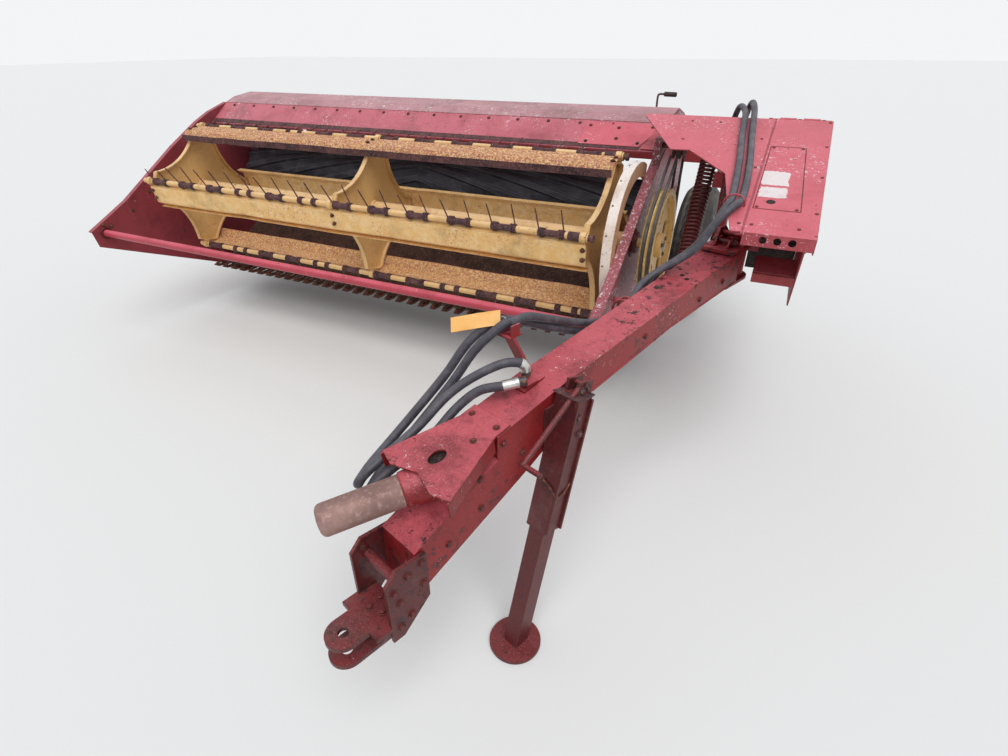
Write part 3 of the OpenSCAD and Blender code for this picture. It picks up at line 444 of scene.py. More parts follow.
# Each run in three parts: behind the shield (x, y, z), on the shield (x, y), and from there
# over the tongue to its coupling, as off_tongue takes it (out, ahead, z).
HOSES = {
    "hose_a": (
        [(2850, 570, 986), (2855, 560, 1080), (2870, 500, 1195), (2895, 410, 1275), (2930, 290, 1268)],
        [(2950, 90), (2970, -90), (2985, -260), (2992, -400)],
        [(40, 215, 1074), (22, 262, 1005), (-10, 290, 945), (-44, 318, 906), (-80, 364, 866),
         (-88, 430, 812), (-86, 520, 768), (-90, 600, 752), (-92, 690, 764), (-96, 780, 794),
         (-102, 880, 838), (-118, 980, 884), (-124, 1035, 904), (-128, 1066, 909), (-164, 1122, 860),
         (-192, 1185, 775), (-214, 1280, 690), (-221, 1360, 635), (-216, 1420, 606), (-195, 1465, 598),
         (-165, 1488, 615), (-146, 1478, 648), (-138, 1430, 674), (-128, 1330, 716), (-124, 1240, 764),
         (-98, 1175, 802), (-54, 1110, 834), (-22, 1072, 830), (-15, 1066, 800)],
    ),
    "hose_b": (
        [(2895, 570, 986), (2900, 560, 1085), (2915, 505, 1205), (2938, 400, 1290), (2962, 285, 1282)],
        [(2984, 90), (3004, -90), (3018, -260), (3022, -400)],
        [(67, 224, 1079), (45, 275, 1036), (15, 312, 960), (-25, 342, 915), (-66, 384, 880),
         (-90, 440, 844), (-84, 520, 796), (-88, 600, 780), (-90, 690, 792), (-92, 780, 822),
         (-94, 880, 864), (-92, 980, 906), (-96, 1035, 906), (-98, 1070, 909), (-138, 1126, 846),
         (-170, 1178, 762), (-194, 1270, 672), (-201, 1350, 615), (-197, 1410, 582), (-172, 1458, 574),
         (-142, 1478, 595), (-124, 1466, 628), (-116, 1410, 652), (-104, 1320, 684), (-98, 1230, 738),
         (-68, 1180, 780), (-24, 1140, 796), (8, 1092, 804)],
    ),
}


def route(name):
    """The hose's middle line, in the machine's millimetres."""
    back, top, front = HOSES[name]
    lay = [(x, y, panel_top(y) + HOSE_R + 1.9) for x, y in top]
    return smooth_path(back + lay + [off_tongue(*q) for q in front])


def hose(name, sleeve_l):
    """A hose between frame and tongue, with a crimped sleeve at each end and its fitting."""
    path = route(name)
    shape = Shape()
    shape.tube(path, HOSE_R - 0.2, 14)
    obj = shape.piece(name + "_rubber", None, HOSE_RUBBER, "rubber")
    ends = Shape()
    start = [path[0].lerp(path[2], t) for t in (0.0, 0.2, 0.22, 0.5, 0.52, 0.75)]
    ends.tube(start, [13.5, 13.5, 12.8, 13.4, 12.6, 13.2], 16)
    near = ends.piece(name + "_rear_sleeve", "frame", ZINC, "steel")
    cut = next(i for i in range(len(path) - 1, 0, -1) if (path[-1] - path[i]).length > sleeve_l)
    tip = Shape()
    tip.tube(path[cut:-2], HOSE_R + 1.6, 16)
    sleeve = tip.piece(name + "_sleeve", "tongue", ZINC, "steel")
    fit = Shape()
    a, b = path[-3], path[-1]
    d = (b - a).normalized()
    fit.tube([a, a + d * 4, a + d * 4.2, b + d], [10, 10, 13, 13], 6)
    plug = fit.piece(name + "_fitting", "tongue", RUST, "rust")
    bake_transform(obj)
    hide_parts(name)


hose("hose_a", 34)
hose("hose_b", 58)

# The solids' materials
FINISHES = {
    RED: "carrier_frame drive_bay header_links wing_right wing_left cyl_barrel_right cyl_barrel_left",
    RED_FASCIA: "fascia",
    RED_SHIELD: "shield_panel shield_lid",
    RED_TONGUE: "tongue_beam bell_cover hose_stand",
    RED_WORN: "hitch jack_tube jack_leg",
    RED_SHEET: "end_sheet_right",
    RED_STRAP: "end_sheet_left",
    RED_BAR: "push_bar",
    OCHRE: "reel_core",
    OCHRE_BAT: "reel_bats",
    OCHRE_SHEAVE: "reel_sheave",
    TAN: "cam_band",
    RIM_WHITE: "rim_left rim_right",
    HOOD_PAINT: "hood",
    RUST: "gearbox cutterbar skid_shoes belt_sheave",
    PAN: "floor_pan",
    BRONZE: "driveline",
    STEEL: "knife cyl_rod_right cyl_rod_left",
    ROLL_RUBBER: "roll_upper roll_lower",
    BELT_RUBBER: "reel_belts",
}
for material, names in FINISHES.items():
    for name in names.split():
        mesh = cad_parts[name].data
        mesh.materials.clear()
        mesh.materials.append(material)


# Tyres
def tyre(side, x):
    """A ribbed implement tyre in place of the plain one, and its wheel's bolts, hub cap and valve."""
    # (radius, across): the wall from the rim up, then the crown's ribs
    wall = [(196, -72), (206, -86), (216, -90), (222, -94), (250, -99), (285, -100), (300, -99), (302, -96),
            (308, -96), (310, -98), (330, -95), (350, -88), (361, -78), (367, -70)]
    crown = [(374.6, -50), (363, -47), (363, -39), (374.6, -36), (374.8, -20), (363, -17), (363, -9),
             (374.8, -6), (374.8, 6), (363, 9), (363, 17), (374.8, 20), (374.6, 36), (363, 39), (363, 47),
             (374.6, 50)]
    steps, zigzag, notch, rings = 120, 3.2, 3, []
    for i in range(steps):
        t = 2 * pi * i / steps
        shift = zigzag if i % 4 < 2 else -zigzag
        ring = wall + [(374, -66)] + [(r, h + shift) for r, h in crown] + [(374, 66)]
        ring += [(r, -h) for r, h in reversed(wall)]
        ring = [(r - (notch if i % 3 == 0 and 350 < r < 368 else 0), h) for r, h in ring]
        rings.append([(x + h, AXLE_Y + r * cos(t), TYRE_R + r * sin(t)) for r, h in ring])
    shape = Shape()
    shape.skin(rings, closed=True)
    obj = shape.piece(f"tyre_{side}_ribbed", f"wheel_{side}", TYRE_RUBBER, "tyre", 28)
    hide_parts(f"tyre_{side}")
    out = 1 if side == "left" else -1
    trim = Shape()
    trim.bolts_round((x + 4 * out, AXLE_Y, TYRE_R), 84, 5, 18, out, 10, 12)
    cap = [(0.5, 0), (31, 0), (31, 9), (24, 15), (0.5, 17)]
    trim.spun(cap, (out, 0, 0), (x + 70 * out, AXLE_Y, TYRE_R), 32)
    trim.bar((x - 4 * out, AXLE_Y + 150, TYRE_R + 20), (x + 26 * out, AXLE_Y + 146, TYRE_R + 18), 4, 8)
    trim.piece(f"wheel_{side}_bolts", f"wheel_{side}", RUST, "rust")


tyre("left", XL + 100)
tyre("right", XR + 140)


# Flotation springs
def spring(name, x, low, high, r, wire, turns):
    """An open coil with a hook round the pin at each end, between header and frame."""
    a, b = Vector((x, *low)), Vector((x, *high))
    d = (b - a).normalized()
    u = Vector((1, 0, 0))
    w = d.cross(u)
    mid, hook_r = r - wire, 14 + wire + 1
    start, stop, per = 44, (b - a).length - 44, 14
    coil = []
    for i in range(turns * per + 1):
        along = start + (stop - start) * i / (turns * per)
        coil.append(a + d * along + around(u, w, 2 * pi * i / per) * mid)

    def hook(centre, up):
        """Two thirds of a turn round the pin."""
        turn = [radians(k) for k in range(200, -41, -20)]
        return [centre + w * sin(t) * hook_r - up * d * cos(t) * hook_r for t in turn]

    def neck(end, up):
        """From the hook out to the coil."""
        return [end + up * d * 30 + w * 2, end + up * d * 36 + u * mid * 0.6]

    shape = Shape()
    shape.tube(hook(a, 1)[::-1] + neck(a, 1) + coil + neck(b, -1)[::-1] + hook(b, -1), wire, 8)
    obj = shape.piece(name + "_coil", None, SPRING_RED, "spring_steel", 60)
    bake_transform(obj)
    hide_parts(name)


spring("spring_left", XL + 240, (-205, 595), (190, 1165), 34, 6.0, 38)
spring("spring_right", XR - 45, (35, 560), (430, 1060), 30, 5.4, 36)


# Reel
def reel_point(a, y, r):
    """A place y ahead of and r out from the reel's axis on the spoke at angle a, as (y, z)."""
    return (y * cos(a) - r * sin(a), REEL_Z + y * sin(a) + r * cos(a))


def collar(shape, low, high, inner, outer, x, y, z, steps=20):
    """A short sleeve along X, from x + low to x + high."""
    shape.spun([(inner, low), (outer, low), (outer, high), (inner, high)], (1, 0, 0), (x, y, z), steps)


COIL_POINTS, PER_TURN, COIL_W, COIL_R = 31, 12, 22, 16.4


def tine(centre, side, lean, reach, bow):
    """A prong's middle line: its coil round the tube, then straight out with a slight bow at the tip."""
    out = Vector((0, -sin(lean), cos(lean)))
    ahead = Vector((0, cos(lean), sin(lean)))
    path = []
    for k in range(COIL_POINTS):
        across = Vector((side * COIL_W * (k / (COIL_POINTS - 1) - 0.5), 0, 0))
        path.append(centre + across + around(out, ahead, 2 * pi * k / PER_TURN) * COIL_R)
    last = path[-1]
    return path + [last + out * reach * f - ahead * bow * f * f for f in (0.12, 0.35, 0.6, 0.8, 1.0)]


def tines():
    """Tine tubes with coiled double tines, in place of the plain ones."""
    clips, prong_w, coil_reach, short_by = 12, 82, 22, 60
    pitch = (REEL_L - 242) / (clips - 1)
    tubes, wires, sleeves, rings = Shape(), Shape(), Shape(), Shape()
    rng = random.Random(4)
    for i in range(BATS):
        a = REEL_TURN + 2 * pi * i / BATS
        # the cam has turned the upper and front bars further, where more of each prong shows
        lean_deg, tine_l = ((65, 150), (49, 155), (15, 118), (60, 118))[i]
        y, z = reel_point(a, TUBE_Y, REEL_R)
        tubes.bar((-30, y, z), (REEL_L + 5, y, z), 12.9, 20)
        for x in (1, REEL_L / 2 + 0.5, REEL_L - 23):
            collar(rings, 24.5, 31, 12.9, 17, x, y, z)
        # rusty collar at the left end, and the tube's stepped rusty end past it
        collar(sleeves, 0, 46, 13, 17.5, REEL_L - 72, y, z)
        stepped = [(5, 0), (11, 0), (11, 12), (15, 12), (15, 24), (5, 24)]
        sleeves.spun(stepped, (1, 0, 0), (REEL_L + 5, y, z), 20)
        for j in range(clips):
            middle = 100 + j * pitch
            if rng.random() < 0.6:
                collar(sleeves, -27, 27, 12.8, 13.4, middle, y, z)
            for side in (-1, 1):
                x = middle + side * prong_w / 2
                collar(sleeves, -15, 15, 13, 15.4, x, y, z, 16)
                lean = a - radians(lean_deg + rng.uniform(-5, 5))
                bow = rng.uniform(1.5, 5.0)
                # the first clip's prongs are shorter than the others
                reach = tine_l - (coil_reach if j else short_by)
                path = tine(Vector((x, y, z)), side, lean, reach, bow)
                wires.tube(path, [3.4] * COIL_POINTS + [3.2, 3.0, 3.0, 2.9, 2.4], 6)
    obj = tubes.piece("tine_tubes", "reel", OCHRE, "reel_paint")
    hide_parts("tine_bars")
    wires.piece("tine_wires", "reel", RUST_PURPLE, "rust", 50)
    sleeves.piece("tine_sleeves", "reel", RUST_PURPLE, "rust")
    rings.piece("tine_rings", "reel", OCHRE_SHEAVE, "reel_paint")


def bats():
    """Bent sheet bats in place of the plain ones: flange, face and turned-out lip, with dents."""
    # (ahead, out) of the sheet's section; the upper bat is bare and rusty on rusty_sides
    section = [(-2.5, 319), (-16, 332), (-98, 293), (-109, 251), (-119, 272), (-121.7, 270.7),
               (-108.2, 242.3), (-94.8, 290.5), (-16, 327.5), (-6, 315)]
    rusty_sides = (3, 4, 5)
    shape = Shape()
    cuts = 50
    for i in range(BATS):
        a = REEL_TURN + 2 * pi * i / BATS
        rng = random.Random(20 + i)
        dents = [(rng.uniform(100, REEL_L - 100), rng.uniform(60, 190), rng.uniform(-4.5, 3.0))
                 for _ in range(9)]
        rings = []
        for c in range(cuts + 1):
            x = REEL_L * c / cuts
            dent = sum(depth * exp(-((x - at) / wide) ** 2) for at, wide, depth in dents)
            pushed = [(y, r, dent if r < 300 else 0.0) for y, r in section]
            rings.append([(x, *reel_point(a, y - push * 0.5, r - abs(push))) for y, r, push in pushed])
        shape.skin(rings)
    obj = shape.piece("bent_bats", "reel", [OCHRE_BAT, RUST_PURPLE], "reel_paint", 20)
    upper = cuts * len(section)
    for face in obj.data.polygons:
        if face.index < upper and face.index % len(section) in rusty_sides:
            face.material_index = 1
    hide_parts("reel_bats")


def reel_trim():
    """Bolts through the bats into the spiders, and the end of the reel's shaft."""
    bolts = Shape()
    for i in range(BATS):
        a = REEL_TURN + 2 * pi * i / BATS
        for x in (12, REEL_L / 2 + 12, REEL_L - 12):
            for back, r in ((-36, REEL_R - 10.5), (-74, REEL_R - 26)):
                bolts.bolt((x, *reel_point(a, back, r)), (0, -sin(a - 0.38), cos(a - 0.38)), 8, 6)
    x = XL + 84 + 48
    bolts.bolts_round((x, 0, REEL_Z), 36, 3, 40, 1, 7, 6)
    bolts.piece("reel_bolts", "reel", RUST, "rust")
    key = Shape()
    key.spun([(6, 0), (19.5, 0), (19.5, 1), (15, 7), (6, 7)], (1, 0, 0), (x + 2, 0, REEL_Z), 24)
    key.piece("reel_shaft_end", "reel", STEEL, "steel")


tines()
bats()
reel_trim()


# Header trim
def band_face():
    """The white outer face of the cam band, a thin liner on its rim, and its rivets."""
    r0, r1 = 318.2, 319.4
    start = asin(130 / 319)
    low = acos((540 - REEL_Z) / -319)
    section = ((r0, XL - 39.7), (r1, XL - 39.7), (r1, XL - 0.6), (r0, XL - 0.6))
    n, rings = 44, []
    for i in range(n + 1):
        t = -start + (pi - low + start) * i / n
        rings.append([(x, -r * sin(t), REEL_Z + r * cos(t)) for r, x in section])
    shape = Shape()
    shape.skin(rings)
    shape.piece("cam_band_face", "header", BAND_OUT, "band_paint")
    rivets = Shape()
    for i in range(7):
        t = -0.2 + 0.36 * i
        out = (0, -sin(t), cos(t))
        rivets.bolt((XL - 30, -318 * sin(t), REEL_Z + 318 * cos(t)), out, 4, 2, False)
    rivets.piece("cam_band_rivets", "header", RUST, "rust")


FASCIA_Y, FASCIA_Z, FASCIA_RUN, FASCIA_RISE = 352, 1084, 139, 98
FASCIA_SLOPE = atan2(FASCIA_RISE, FASCIA_RUN)
FASCIA_UP = (0, -sin(FASCIA_SLOPE), cos(FASCIA_SLOPE))
FASCIA_PIECES = (
    # name, outline as on_fascia takes it, underside, top, material, slot, bevel in metres
    # the lowest strip: rust, and painted shade of the fold beneath the fascia
    ("fascia_edge_rust_and_shade", ((XR + 6, 0.0), (2505, 0.0), (2508, 0.15), (XR + 6, 0.19)), 7.3, 8.2,
     RUST_PURPLE, "rust", 0.0),
    ("fascia_plate", ((2210, 0.10), (2500, 0.10), (2546, 0.55), (2560, 0.94), (2216, 0.94)), 7.4, 10.4,
     RED_SHIELD, "paint", 0.0008),
    ("fascia_corner", ((2566, 0.98), (2592, 0.98), (2592, 0.02), (2512, 0.02)), 7.4, 12,
     RED, "paint", 0.0008),
)
BEARINGS = ((0, REEL_Z, 21.5), (614, REEL_Z, 26.5), (ROLL_Y, ROLL_Z, 26.5))     # y, z, bore radius
SHEET_BOLTS = ((-330, 690), (-200, 770), (-60, 500), (330, 1050), (450, 1120), (700, 1190), (860, 1080),
               (900, 700), (240, 260), (400, 300))


def on_fascia(x, share, lift=7.2):
    """A place on the fascia: share runs up its slope from the lower edge, and lift is its distance."""
    y, z = FASCIA_Y + FASCIA_RUN * share, FASCIA_Z + FASCIA_RISE * share
    return (x, y - sin(FASCIA_SLOPE) * lift, z + cos(FASCIA_SLOPE) * lift)


def fascia_trim(bolts):
    """The fascia's lower edge (rust, and painted shade of the fold beneath it), its small plate and its
    corner piece, with their bolts.
    """
    for k in range(16):
        bolts.bolt(on_fascia(XR + 90 + 165 * k, 0.9), FASCIA_UP, 6, 4)
    for x, share in ((2240, 0.8), (2380, 0.75), (2385, 0.35), (2535, 0.83), (2490, 0.22), (2245, 0.2)):
        bolts.bolt(on_fascia(x, share, 10.5), FASCIA_UP, 6, 4)
    for name, outline, low, high, material, slot, bevel in FASCIA_PIECES:
        shape = Shape()
        shape.skin(sheet(on_fascia, outline, low, high))
        shape.piece(name, "header", material, slot, 30, bevel)


def sheet_trim(bolts):
    """The push bar's collars, the bearings' flanges, and the bolts of the end sheets and cutterbar."""
    for x, out in ((XR, 1), (XL, -1)):
        bolts.bolt((x + out, -520, 655), (out, 0, 0), 8, 6)
        bolts.bolt((x + out, -480, 640), (out, 0, 0), 8, 6)
    collars = Shape()
    for x in (XR + 4, XL - 12):
        collar(collars, 0, 8, 19.6, 31, x, -520, 610, 28)
    collars.piece("push_bar_collars", "header", RED_WORN, "paint")
    flange = Shape()
    for x, out in ((XR - SHEET_T, -1), (XL + SHEET_T, 1)):
        for y, z, r in BEARINGS:
            profile = [(r, 0.2), (62, 0.2), (62, 4), (46, 7), (44, 22), (r, 22)]
            flange.spun(profile, (out, 0, 0), (x, y, z), 36)
            bolts.bolts_round((x + out * 4.5, y, z), 53, 3, 90, out, 6, 6, False)
    flange.piece("bearing_flanges", "header", RED_WORN, "paint")
    for x, out in ((XR - SHEET_T, -1), (XR, 1), (XL, -1), (XL + SHEET_T, 1)):
        for y, z in SHEET_BOLTS:
            # left out where other pieces cover the sheet
            if (x == XL and y < 100 and z > 500) or (x == XL + SHEET_T and z > 1000 and y < 400):
                continue
            bolts.bolt((x, y, z), (out, 0, 0), 7, 5)
    for k in range(18):
        bolts.bolt((XR + 100 + k * 2 * 76.2, 222, 247.2), (0, 0, 1), 7, 5, False)


def crank():
    """The crank handle that stands behind the hood."""
    y, top = 794, 1287
    rod, grip = Shape(), Shape()
    bend = [(2470, 780, 1150), (2470, 792, 1225), (2470, y, 1275), (2478, y, 1286), (2500, y, top)]
    rod.tube(smooth_path(bend, 4), 5, 10)
    rod.piece("crank_rod", "header", RUST_PURPLE, "rust")
    grip.tube([(2500, y, top), (2503, y, top), (2558, y, 1286), (2561, y, 1286)], [9, 11, 11, 8], 16)
    grip.piece("crank_grip", "header", GRIP, "rubber")


def header_trim():
    bolts = Shape()
    fascia_trim(bolts)
    sheet_trim(bolts)
    bolts.piece("header_bolts", "header", RUST, "rust")
    crank()


def pan_lip():
    """The pan's curved rear lip, which runs on under the lower roll with a little clearance."""
    arc = [radians(k) for k in range(214, 253, 4)]
    inner, outer = [[(ROLL_Y + r * cos(t), ROLL_Z + r * sin(t)) for t in arc] for r in (161, 164)]
    shape = Shape()
    shape.prism([(492, 411)] + inner + outer[::-1] + [(495, 405.5)], XR + 1, XL - 1, "x")
    shape.piece("pan_lip", "header", PAN, "rust")


band_face()
header_trim()
pan_lip()


# What lies on the left shield
PANEL_TILT = atan(PANEL_RISE)
PANEL_UP = (0, -sin(PANEL_TILT), cos(PANEL_TILT))
RIVETS = (
    # name, body, places
    ("lid_rivets", "lid", ((3070, 30), (3166, 30), (3184, -410), (3070, -410), (3240, 280), (3240, 60),
                           (3240, -180), (3240, -420), (3070, -520), (3200, -520))),
    ("panel_rivets", "frame", ((2740, 240), (2850, 240), (2975, 240), (3020, 100), (3030, -140),
                               (3030, -380), (2740, 60), (3034, -520))),
)


def on_panel(x, y, lift=0.0):
    return (x, y - sin(PANEL_TILT) * lift, panel_top(y) + cos(PANEL_TILT) * lift)


def patch(name, x0, x1, y0, y1, seed):
    """A worn blank patch with a ragged edge."""
    rng = random.Random(seed)
    n, ring = 40, []
    for k in range(n):
        t = 2 * pi * k / n
        c, s = cos(t), sin(t)
        m = 1 / max(abs(c), abs(s)) * rng.uniform(0.86, 1.0)
        ring.append(((x0 + x1) / 2 + c * m * (x1 - x0) / 2, (y0 + y1) / 2 + s * m * (y1 - y0) / 2))
    shape = Shape()
    shape.skin(sheet(on_panel, ring, 0.1, 0.5))
    shape.piece(name, "lid", DECAL, "paint")


def access_plate_edge():
    """A thin line round the access plate."""
    edge = Shape()
    corners = [(3060, 40), (3176, 40), (3196, -420), (3060, -420)]
    for (x0, y0), (x1, y1) in zip(corners, corners[1:] + corners[:1]):
        wx, wy = (1.6, 0) if abs(y1 - y0) > abs(x1 - x0) else (0, 1.6)
        line = [(x0 - wx, y0 - wy), (x1 - wx, y1 - wy), (x1 + wx, y1 + wy), (x0 + wx, y0 + wy)]
        edge.skin(sheet(on_panel, line, 0.0, 0.7))
    edge.piece("access_plate_edge", "lid", RED_WORN, "paint")


def panel_trim():
    """Blank patches, the lid's hole as a dark disc of painted shade, rivets, the hoses' wire loop and the
    strap under the joint.
    """
    patch("bare_patch_a", 3057, 3148, -262, -156, 3)
    patch("bare_patch_b", 3060, 3150, -346, -272, 8)
    # a dark disc on the lid: painted shade of its hole
    hole = Shape()
    hole.spun([(0.3, 0.1), (14, 0.1), (14, 0.6), (0.3, 0.6)], PANEL_UP, on_panel(3106, -372), 32)
    hole.piece("lid_hole_painted_shade", "lid", DARK, "rust")
    access_plate_edge()
    for name, body, places in RIVETS:
        rivets = Shape()
        for x, y in places:
            rivets.spun([(0.3, 0), (6, 0), (5, 2), (0.3, 2.6)], PANEL_UP, on_panel(x, y), 12)
        rivets.piece(name, body, RED_WORN, "paint")
    loop = Shape()
    x0, y0 = 3003, -418
    turn = [radians(k - 20) for k in range(0, 221, 15)]
    loop.tube([(x0 + 32 * cos(t), y0, panel_top(y0) + 7 + 28 * sin(t)) for t in turn], 2.6, 8)
    loop.piece("hose_loop", "frame", RED_BAR, "paint")
    strap = Shape()
    outline = [(3030, -562), (3062, -562), (3062, 322), (3030, 322)]
    strap.skin([[(x, y, panel_top(y) - drop) for x, y in outline] for drop in (12, 7)])
    strap.piece("joint_strap", "frame", RED_SHIELD, "paint")


panel_trim()


# Tongue trim
BEAM_SIDE = 61
COVER_DROP = tan(radians(10))
# Bolt heads on both sides, as (ahead, z)
BEAM_BOLTS = ((180, 820), (330, 800), (640, 780), (905, 740), (1160, 650), (1225, 712), (1300, 560),
              (1405, 520), (1300, 650))
HITCH_BOLTS = ((1490, 535), (1490, 470), (1530, 525), (1556, 460), (1530, 400), (1562, 385), (1568, 500))


def rear_bracket(bolts):
    """The small bracket on the beam's rear end, with its long bolt."""
    ears = Shape(TONGUE)
    outline = [(-34, 0), (34, 0), (34, 22), (22, 40), (-22, 40), (-34, 22)]
    for out in (-24, 24):
        ears.prism([(y - 78, z + 893) for y, z in outline], out - 3, out + 3, "x")
    ears.box(-21, 21, -112, -44, 892, 904)
    ears.piece("rear_bracket", "tongue", RED_TONGUE, "paint", 30, 0.001)
    bolts.bar((-46, -78, 922), (46, -78, 922), 7, 16)
    for out in (1, -1):
        bolts.bolt((27 * out, -78, 922), (out, 0, 0), 12, 10)


def tongue_bolts():
    bolts = Shape(TONGUE)
    # long bolts through the rear ears, with nuts
    for out in (-1, 1):
        bolts.bolt((out * (BEAM_SIDE - 4), -5, 930), (out, 0, 0), 14, 12)
    bolts.bar((-BEAM_SIDE - 22, -5, 930), (-BEAM_SIDE, -5, 930), 8, 16)
    rear_bracket(bolts)
    for places, side, r, h in ((BEAM_BOLTS, BEAM_SIDE, 7, 5), (HITCH_BOLTS, BEAM_SIDE + 10, 8, 6)):
        for ahead, z in places:
            for out in (-1, 1):
                bolts.bolt((out * side, -ahead, z), (out, 0, 0), r, h)
    # the bell cover's bolts, which run down into the beam
    for out, ahead in ((42, 1228), (-42, 1228), (30, 1290)):
        z = 754 - (ahead - 1200) * COVER_DROP
        bolts.bolt((out, -ahead, z + 1.2), (0, -0.17, 0.98), 6, 4)
        bolts.bar((out, -ahead, z - 14), (out, -ahead, z), 5, 10)
    for out, ahead in ((-14, 1590), (18, 1575), (-18, 1556), (16, 1548)):
        bolts.bolt((out, -ahead, 400), (0, 0, 1), 8, 6)
    bolts.piece("tongue_bolts", "tongue", RED_WORN, "rust")


def beam_trim():
    """The hitch's cross pin, the welds, painted shade under the bell cover's hole, and the beam's holes in
    painted shade.
    """
    pin = Shape(TONGUE)
    pin.bar((-BEAM_SIDE + 1, -1545, 505), (BEAM_SIDE - 1, -1545, 505), 13, 20)
    pin.piece("hitch_cross_pin", "tongue", RED_WORN, "paint")
    weld = Shape(TONGUE)
    for out in (-BEAM_SIDE - 0.2, BEAM_SIDE + 0.2):
        weld.tube([(out, -1242, 742), (out, -1242, 676)], 3.0, 8)
        weld.tube([(out, -80, 790), (out, -500, 760), (out, -880, 704)], 2.2, 8)
    weld.piece("tongue_welds", "tongue", RED_TONGUE, "paint")
    # a dark sheet under the bell cover's hole: painted shade
    shade = Shape(TONGUE)
    section = [(-1408, 8), (-1336, 8), (-1336, 6), (-1408, 6)]
    shade.prism([(y, 749 + (y + 1200) * COVER_DROP - below) for y, below in section], -26, 26, "x")
    shade.piece("bell_cover_painted_shade", "tongue", DARK, "rust")
    # shallow discs with a dark bottom, painted shade of the holes, on the beam's sloping top
    holes = Shape(TONGUE)
    for out, ahead, r in ((2, 96, 11), (34, 70, 7), (-10, 335, 8), (16, 352, 8), (-30, 452, 9),
                          (-38, 300, 6)):
        z = 898 - (ahead - 70) * 116 / 930 + 0.2
        holes.spun([(0.2, 0), (r, 0), (r, 0.7), (0.2, 0.7)], (0, -0.124, 0.992), (out, -ahead, z), 20)
    holes.piece("beam_holes_painted_shade", "tongue", DARK, "rust")


def driveline_trim():
    """The red collar near the telescoping tube's base, and the tube's rounded end."""
    place = TONGUE @ Matrix.Translation((8, -1345, 668)) @ Matrix.Rotation(radians(-23), 4, "Z") \
        @ Matrix.Rotation(radians(98), 4, "X")
    ring = [(38.3, -18), (45, -14), (47, 30), (48, 74), (44, 92), (42, 112), (38.3, 116)]
    end = [(0.3, 289), (38, 289), (37.4, 295), (34, 300.5), (28, 304), (16, 306), (0.3, 306.6)]
    for name, profile, steps, material, slot, smooth in (
            ("driveline_collar", ring, 40, RED_TONGUE, "paint", 35),
            ("driveline_end", end, 48, BRONZE, "rust", 60)):
        shape = Shape(place)
        shape.spun(profile, (0, 0, 1), (0, 0, 0), steps)
        shape.piece(name, "tongue", material, slot, smooth)


def jack_trim():
    """The jack's head with its bolts, the wire round it, and its channel's ribs."""
    metal = Shape(JACK)
    metal.prism([(-34, -46), (34, -46), (44, -8), (34, 40), (-34, 40)], -9, -5)
    for place in ((22, 14, 14), (22, -8, 6), (33, -12, -60), (33, 12, -110)):
        metal.bolt(place, (1, 0, 0), 8, 6)
    metal.piece("jack_head", "tongue", RUST_PURPLE, "rust", 30, 0.001)
    wire = Shape(JACK)
    run = [(30, 33, -250), (33, 20, -268), (36, -5, -285), (34, -28, -280), (20, -36, -262), (-10, -36, -250)]
    wire.tube(smooth_path(run, 4), 3, 8)
    wire.piece("jack_wire", "tongue", RUST, "rust")
    rib = Shape(JACK)
    for y in (-32, 26):
        rib.box(32.2, 40, y, y + 6, -398, -16)
    rib.piece("jack_channel", "tongue", RED_WORN, "paint", 30, 0.001)


def tag():
    """The blank card tied to a hose, and its wire."""
    nu, nv, thick = 12, 4, 0.8
    a = Vector(off_tongue(-126, 1044, 922)) + Vector((4, -12, 8))
    along, across, out = Vector((-112, -56, -20)), Vector((9, -18, -32)), Vector((0.37, -0.77, 0.52))

    def point(i, j, lift):
        """A place on the card, which bows along its length and ripples."""
        bow = 7 * sin(pi * i / nu) + 1.5 * sin(3 * j + i * 0.6)
        return a + along * (i / nu) + across * (j / nv - 0.25) + out * (bow + lift)

    rows = range(nv + 1)
    card = Shape()
    card.skin([[point(i, j, thick) for j in rows] + [point(i, j, 0) for j in reversed(rows)]
               for i in range(nu + 1)])
    card.piece("blank_tag", "tongue", TAG, "paint", 60)
    tie = Shape(TONGUE)
    turn = [radians(k) for k in range(0, 360, 20)]
    tie.tube([(-110 + 16 * cos(t), -1050, 905 + 17 * sin(t)) for t in turn], 1.2, 6, closed=True)
    tie.piece("tag_wire", "tongue", ZINC, "steel")


tongue_bolts()
beam_trim()
driveline_trim()
jack_trim()
tag()


# Frame trim
BAY_BOLTS = ((-380, 940), (-240, 780), (0, 760), (300, 760), (600, 800), (900, 880), (900, 960), (300, 1180),
             (0, 1100), (-300, 1020))


def frame_trim():
    """Bolts on the frame and the drive bay, a dark plate of painted shade inside the bay, and the axles'
    ends.
    """
    bolts = Shape()
    for x in (XR + 320, XL - 80):
        for z in (440, 520, 700, 830):
            bolts.bolt((x, AXLE_Y - (75 if z > 500 else 112), z), (0, -1, 0), 10, 7)
    for k in range(9):
        for z in (940, 1000):
            bolts.bolt((-250 + 400 * k, AXLE_Y + 70, z), (0, 1, 0), 10, 7)
    for y in (520, 760, 1000, 1200):
        bolts.bolt((XL + 500, y, 900), (1, 0, 0), 10, 7)
    bolts.piece("frame_bolts", "frame", RUST, "rust")
    bay = Shape()
    for y, z in BAY_BOLTS:
        bay.bolt((BAY_X, y, z), (1, 0, 0), 7, 5)
    bay.piece("bay_bolts", "frame", RUST, "rust")
    # a dark plate inside the bay: painted shade
    back = Shape()
    back.box(3060, 3229, 48, 51, 724, 1004)
    back.piece("bay_painted_shade_plate", "frame", DARK, "rust")
    ends = Shape()
    for x, out in ((XR + 160, -1), (XL + 80, 1)):
        ends.spun([(4, 0), (23, 0), (23, 8), (18, 14), (4, 14)], (out, 0, 0), (x, AXLE_Y, TYRE_R), 24)
    ends.piece("axle_ends", "frame", RUST, "rust")


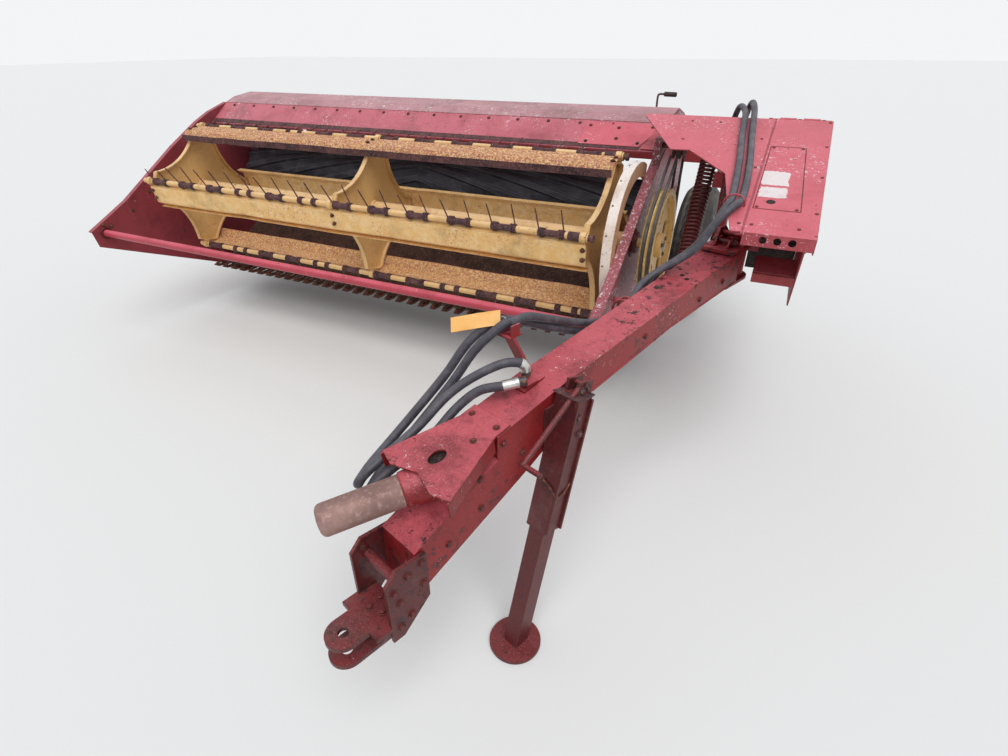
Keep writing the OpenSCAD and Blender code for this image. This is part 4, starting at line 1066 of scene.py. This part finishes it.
def cylinder_trim():
    """A gland nut and two ports on each lift cylinder."""
    for side, x in (("right", XR - 55), ("left", XL + 290)):
        high, low = Vector((x, 700, 895)), Vector((x, 560, 470))
        d = (low - high).normalized()
        back = d.cross(Vector((1, 0, 0)))
        shape = Shape()
        shape.spun([(24.5, 244), (33, 244), (33, 262), (24.5, 262)], d, high, 32)
        for at in (50, 225):
            shape.bar(high + d * at + back * 24, high + d * at + back * 44, 9, 12)
        shape.piece(f"cylinder_ports_{side}", f"barrel_{side}", DARK, "rust")


frame_trim()
cylinder_trim()


# Floor and light
def stage():
    """A pale floor, soft light from the sky, a paler sky where the camera sees it, and a wide sun."""
    floor_mat = bpy.data.materials.new("floor")
    floor_mat.use_nodes = True
    b = floor_mat.node_tree.nodes["Principled BSDF"]
    b.inputs["Base Color"].default_value = (0.80, 0.80, 0.79, 1)
    b.inputs["Roughness"].default_value = 0.9
    bpy.ops.mesh.primitive_plane_add(size=120, location=(0, 0, -0.0005))
    floor = bpy.context.object
    floor.name = "floor"
    floor.data.materials.append(floor_mat)
    world = bpy.data.worlds.new("world")
    scene.world = world
    world.use_nodes = True
    t = world.node_tree
    bg = t.nodes["Background"]
    bg.inputs["Color"].default_value = (0.93, 0.96, 1.0, 1)
    bg.inputs["Strength"].default_value = 0.62
    white = t.nodes.new("ShaderNodeBackground")
    white.inputs["Color"].default_value = (0.90, 0.91, 0.92, 1)
    white.inputs["Strength"].default_value = 1.0
    path = t.nodes.new("ShaderNodeLightPath")
    mix = t.nodes.new("ShaderNodeMixShader")
    most = t.nodes.new("ShaderNodeMath")
    most.operation = "MAXIMUM"
    for a, b in ((path.outputs["Is Camera Ray"], most.inputs[0]),
                 (path.outputs["Is Glossy Ray"], most.inputs[1]),
                 (most.outputs[0], mix.inputs[0]), (bg.outputs[0], mix.inputs[1]),
                 (white.outputs[0], mix.inputs[2]),
                 (mix.outputs[0], t.nodes["World Output"].inputs["Surface"])):
        t.links.new(a, b)
    sun = bpy.data.lights.new("sun", "SUN")
    sun.energy, sun.angle = 1.7, radians(50)
    lamp = bpy.data.objects.new("sun", sun)
    lamp.rotation_euler = (radians(32), radians(10), radians(20))
    scene.collection.objects.link(lamp)
    scene.view_settings.view_transform = "Standard"


stage()
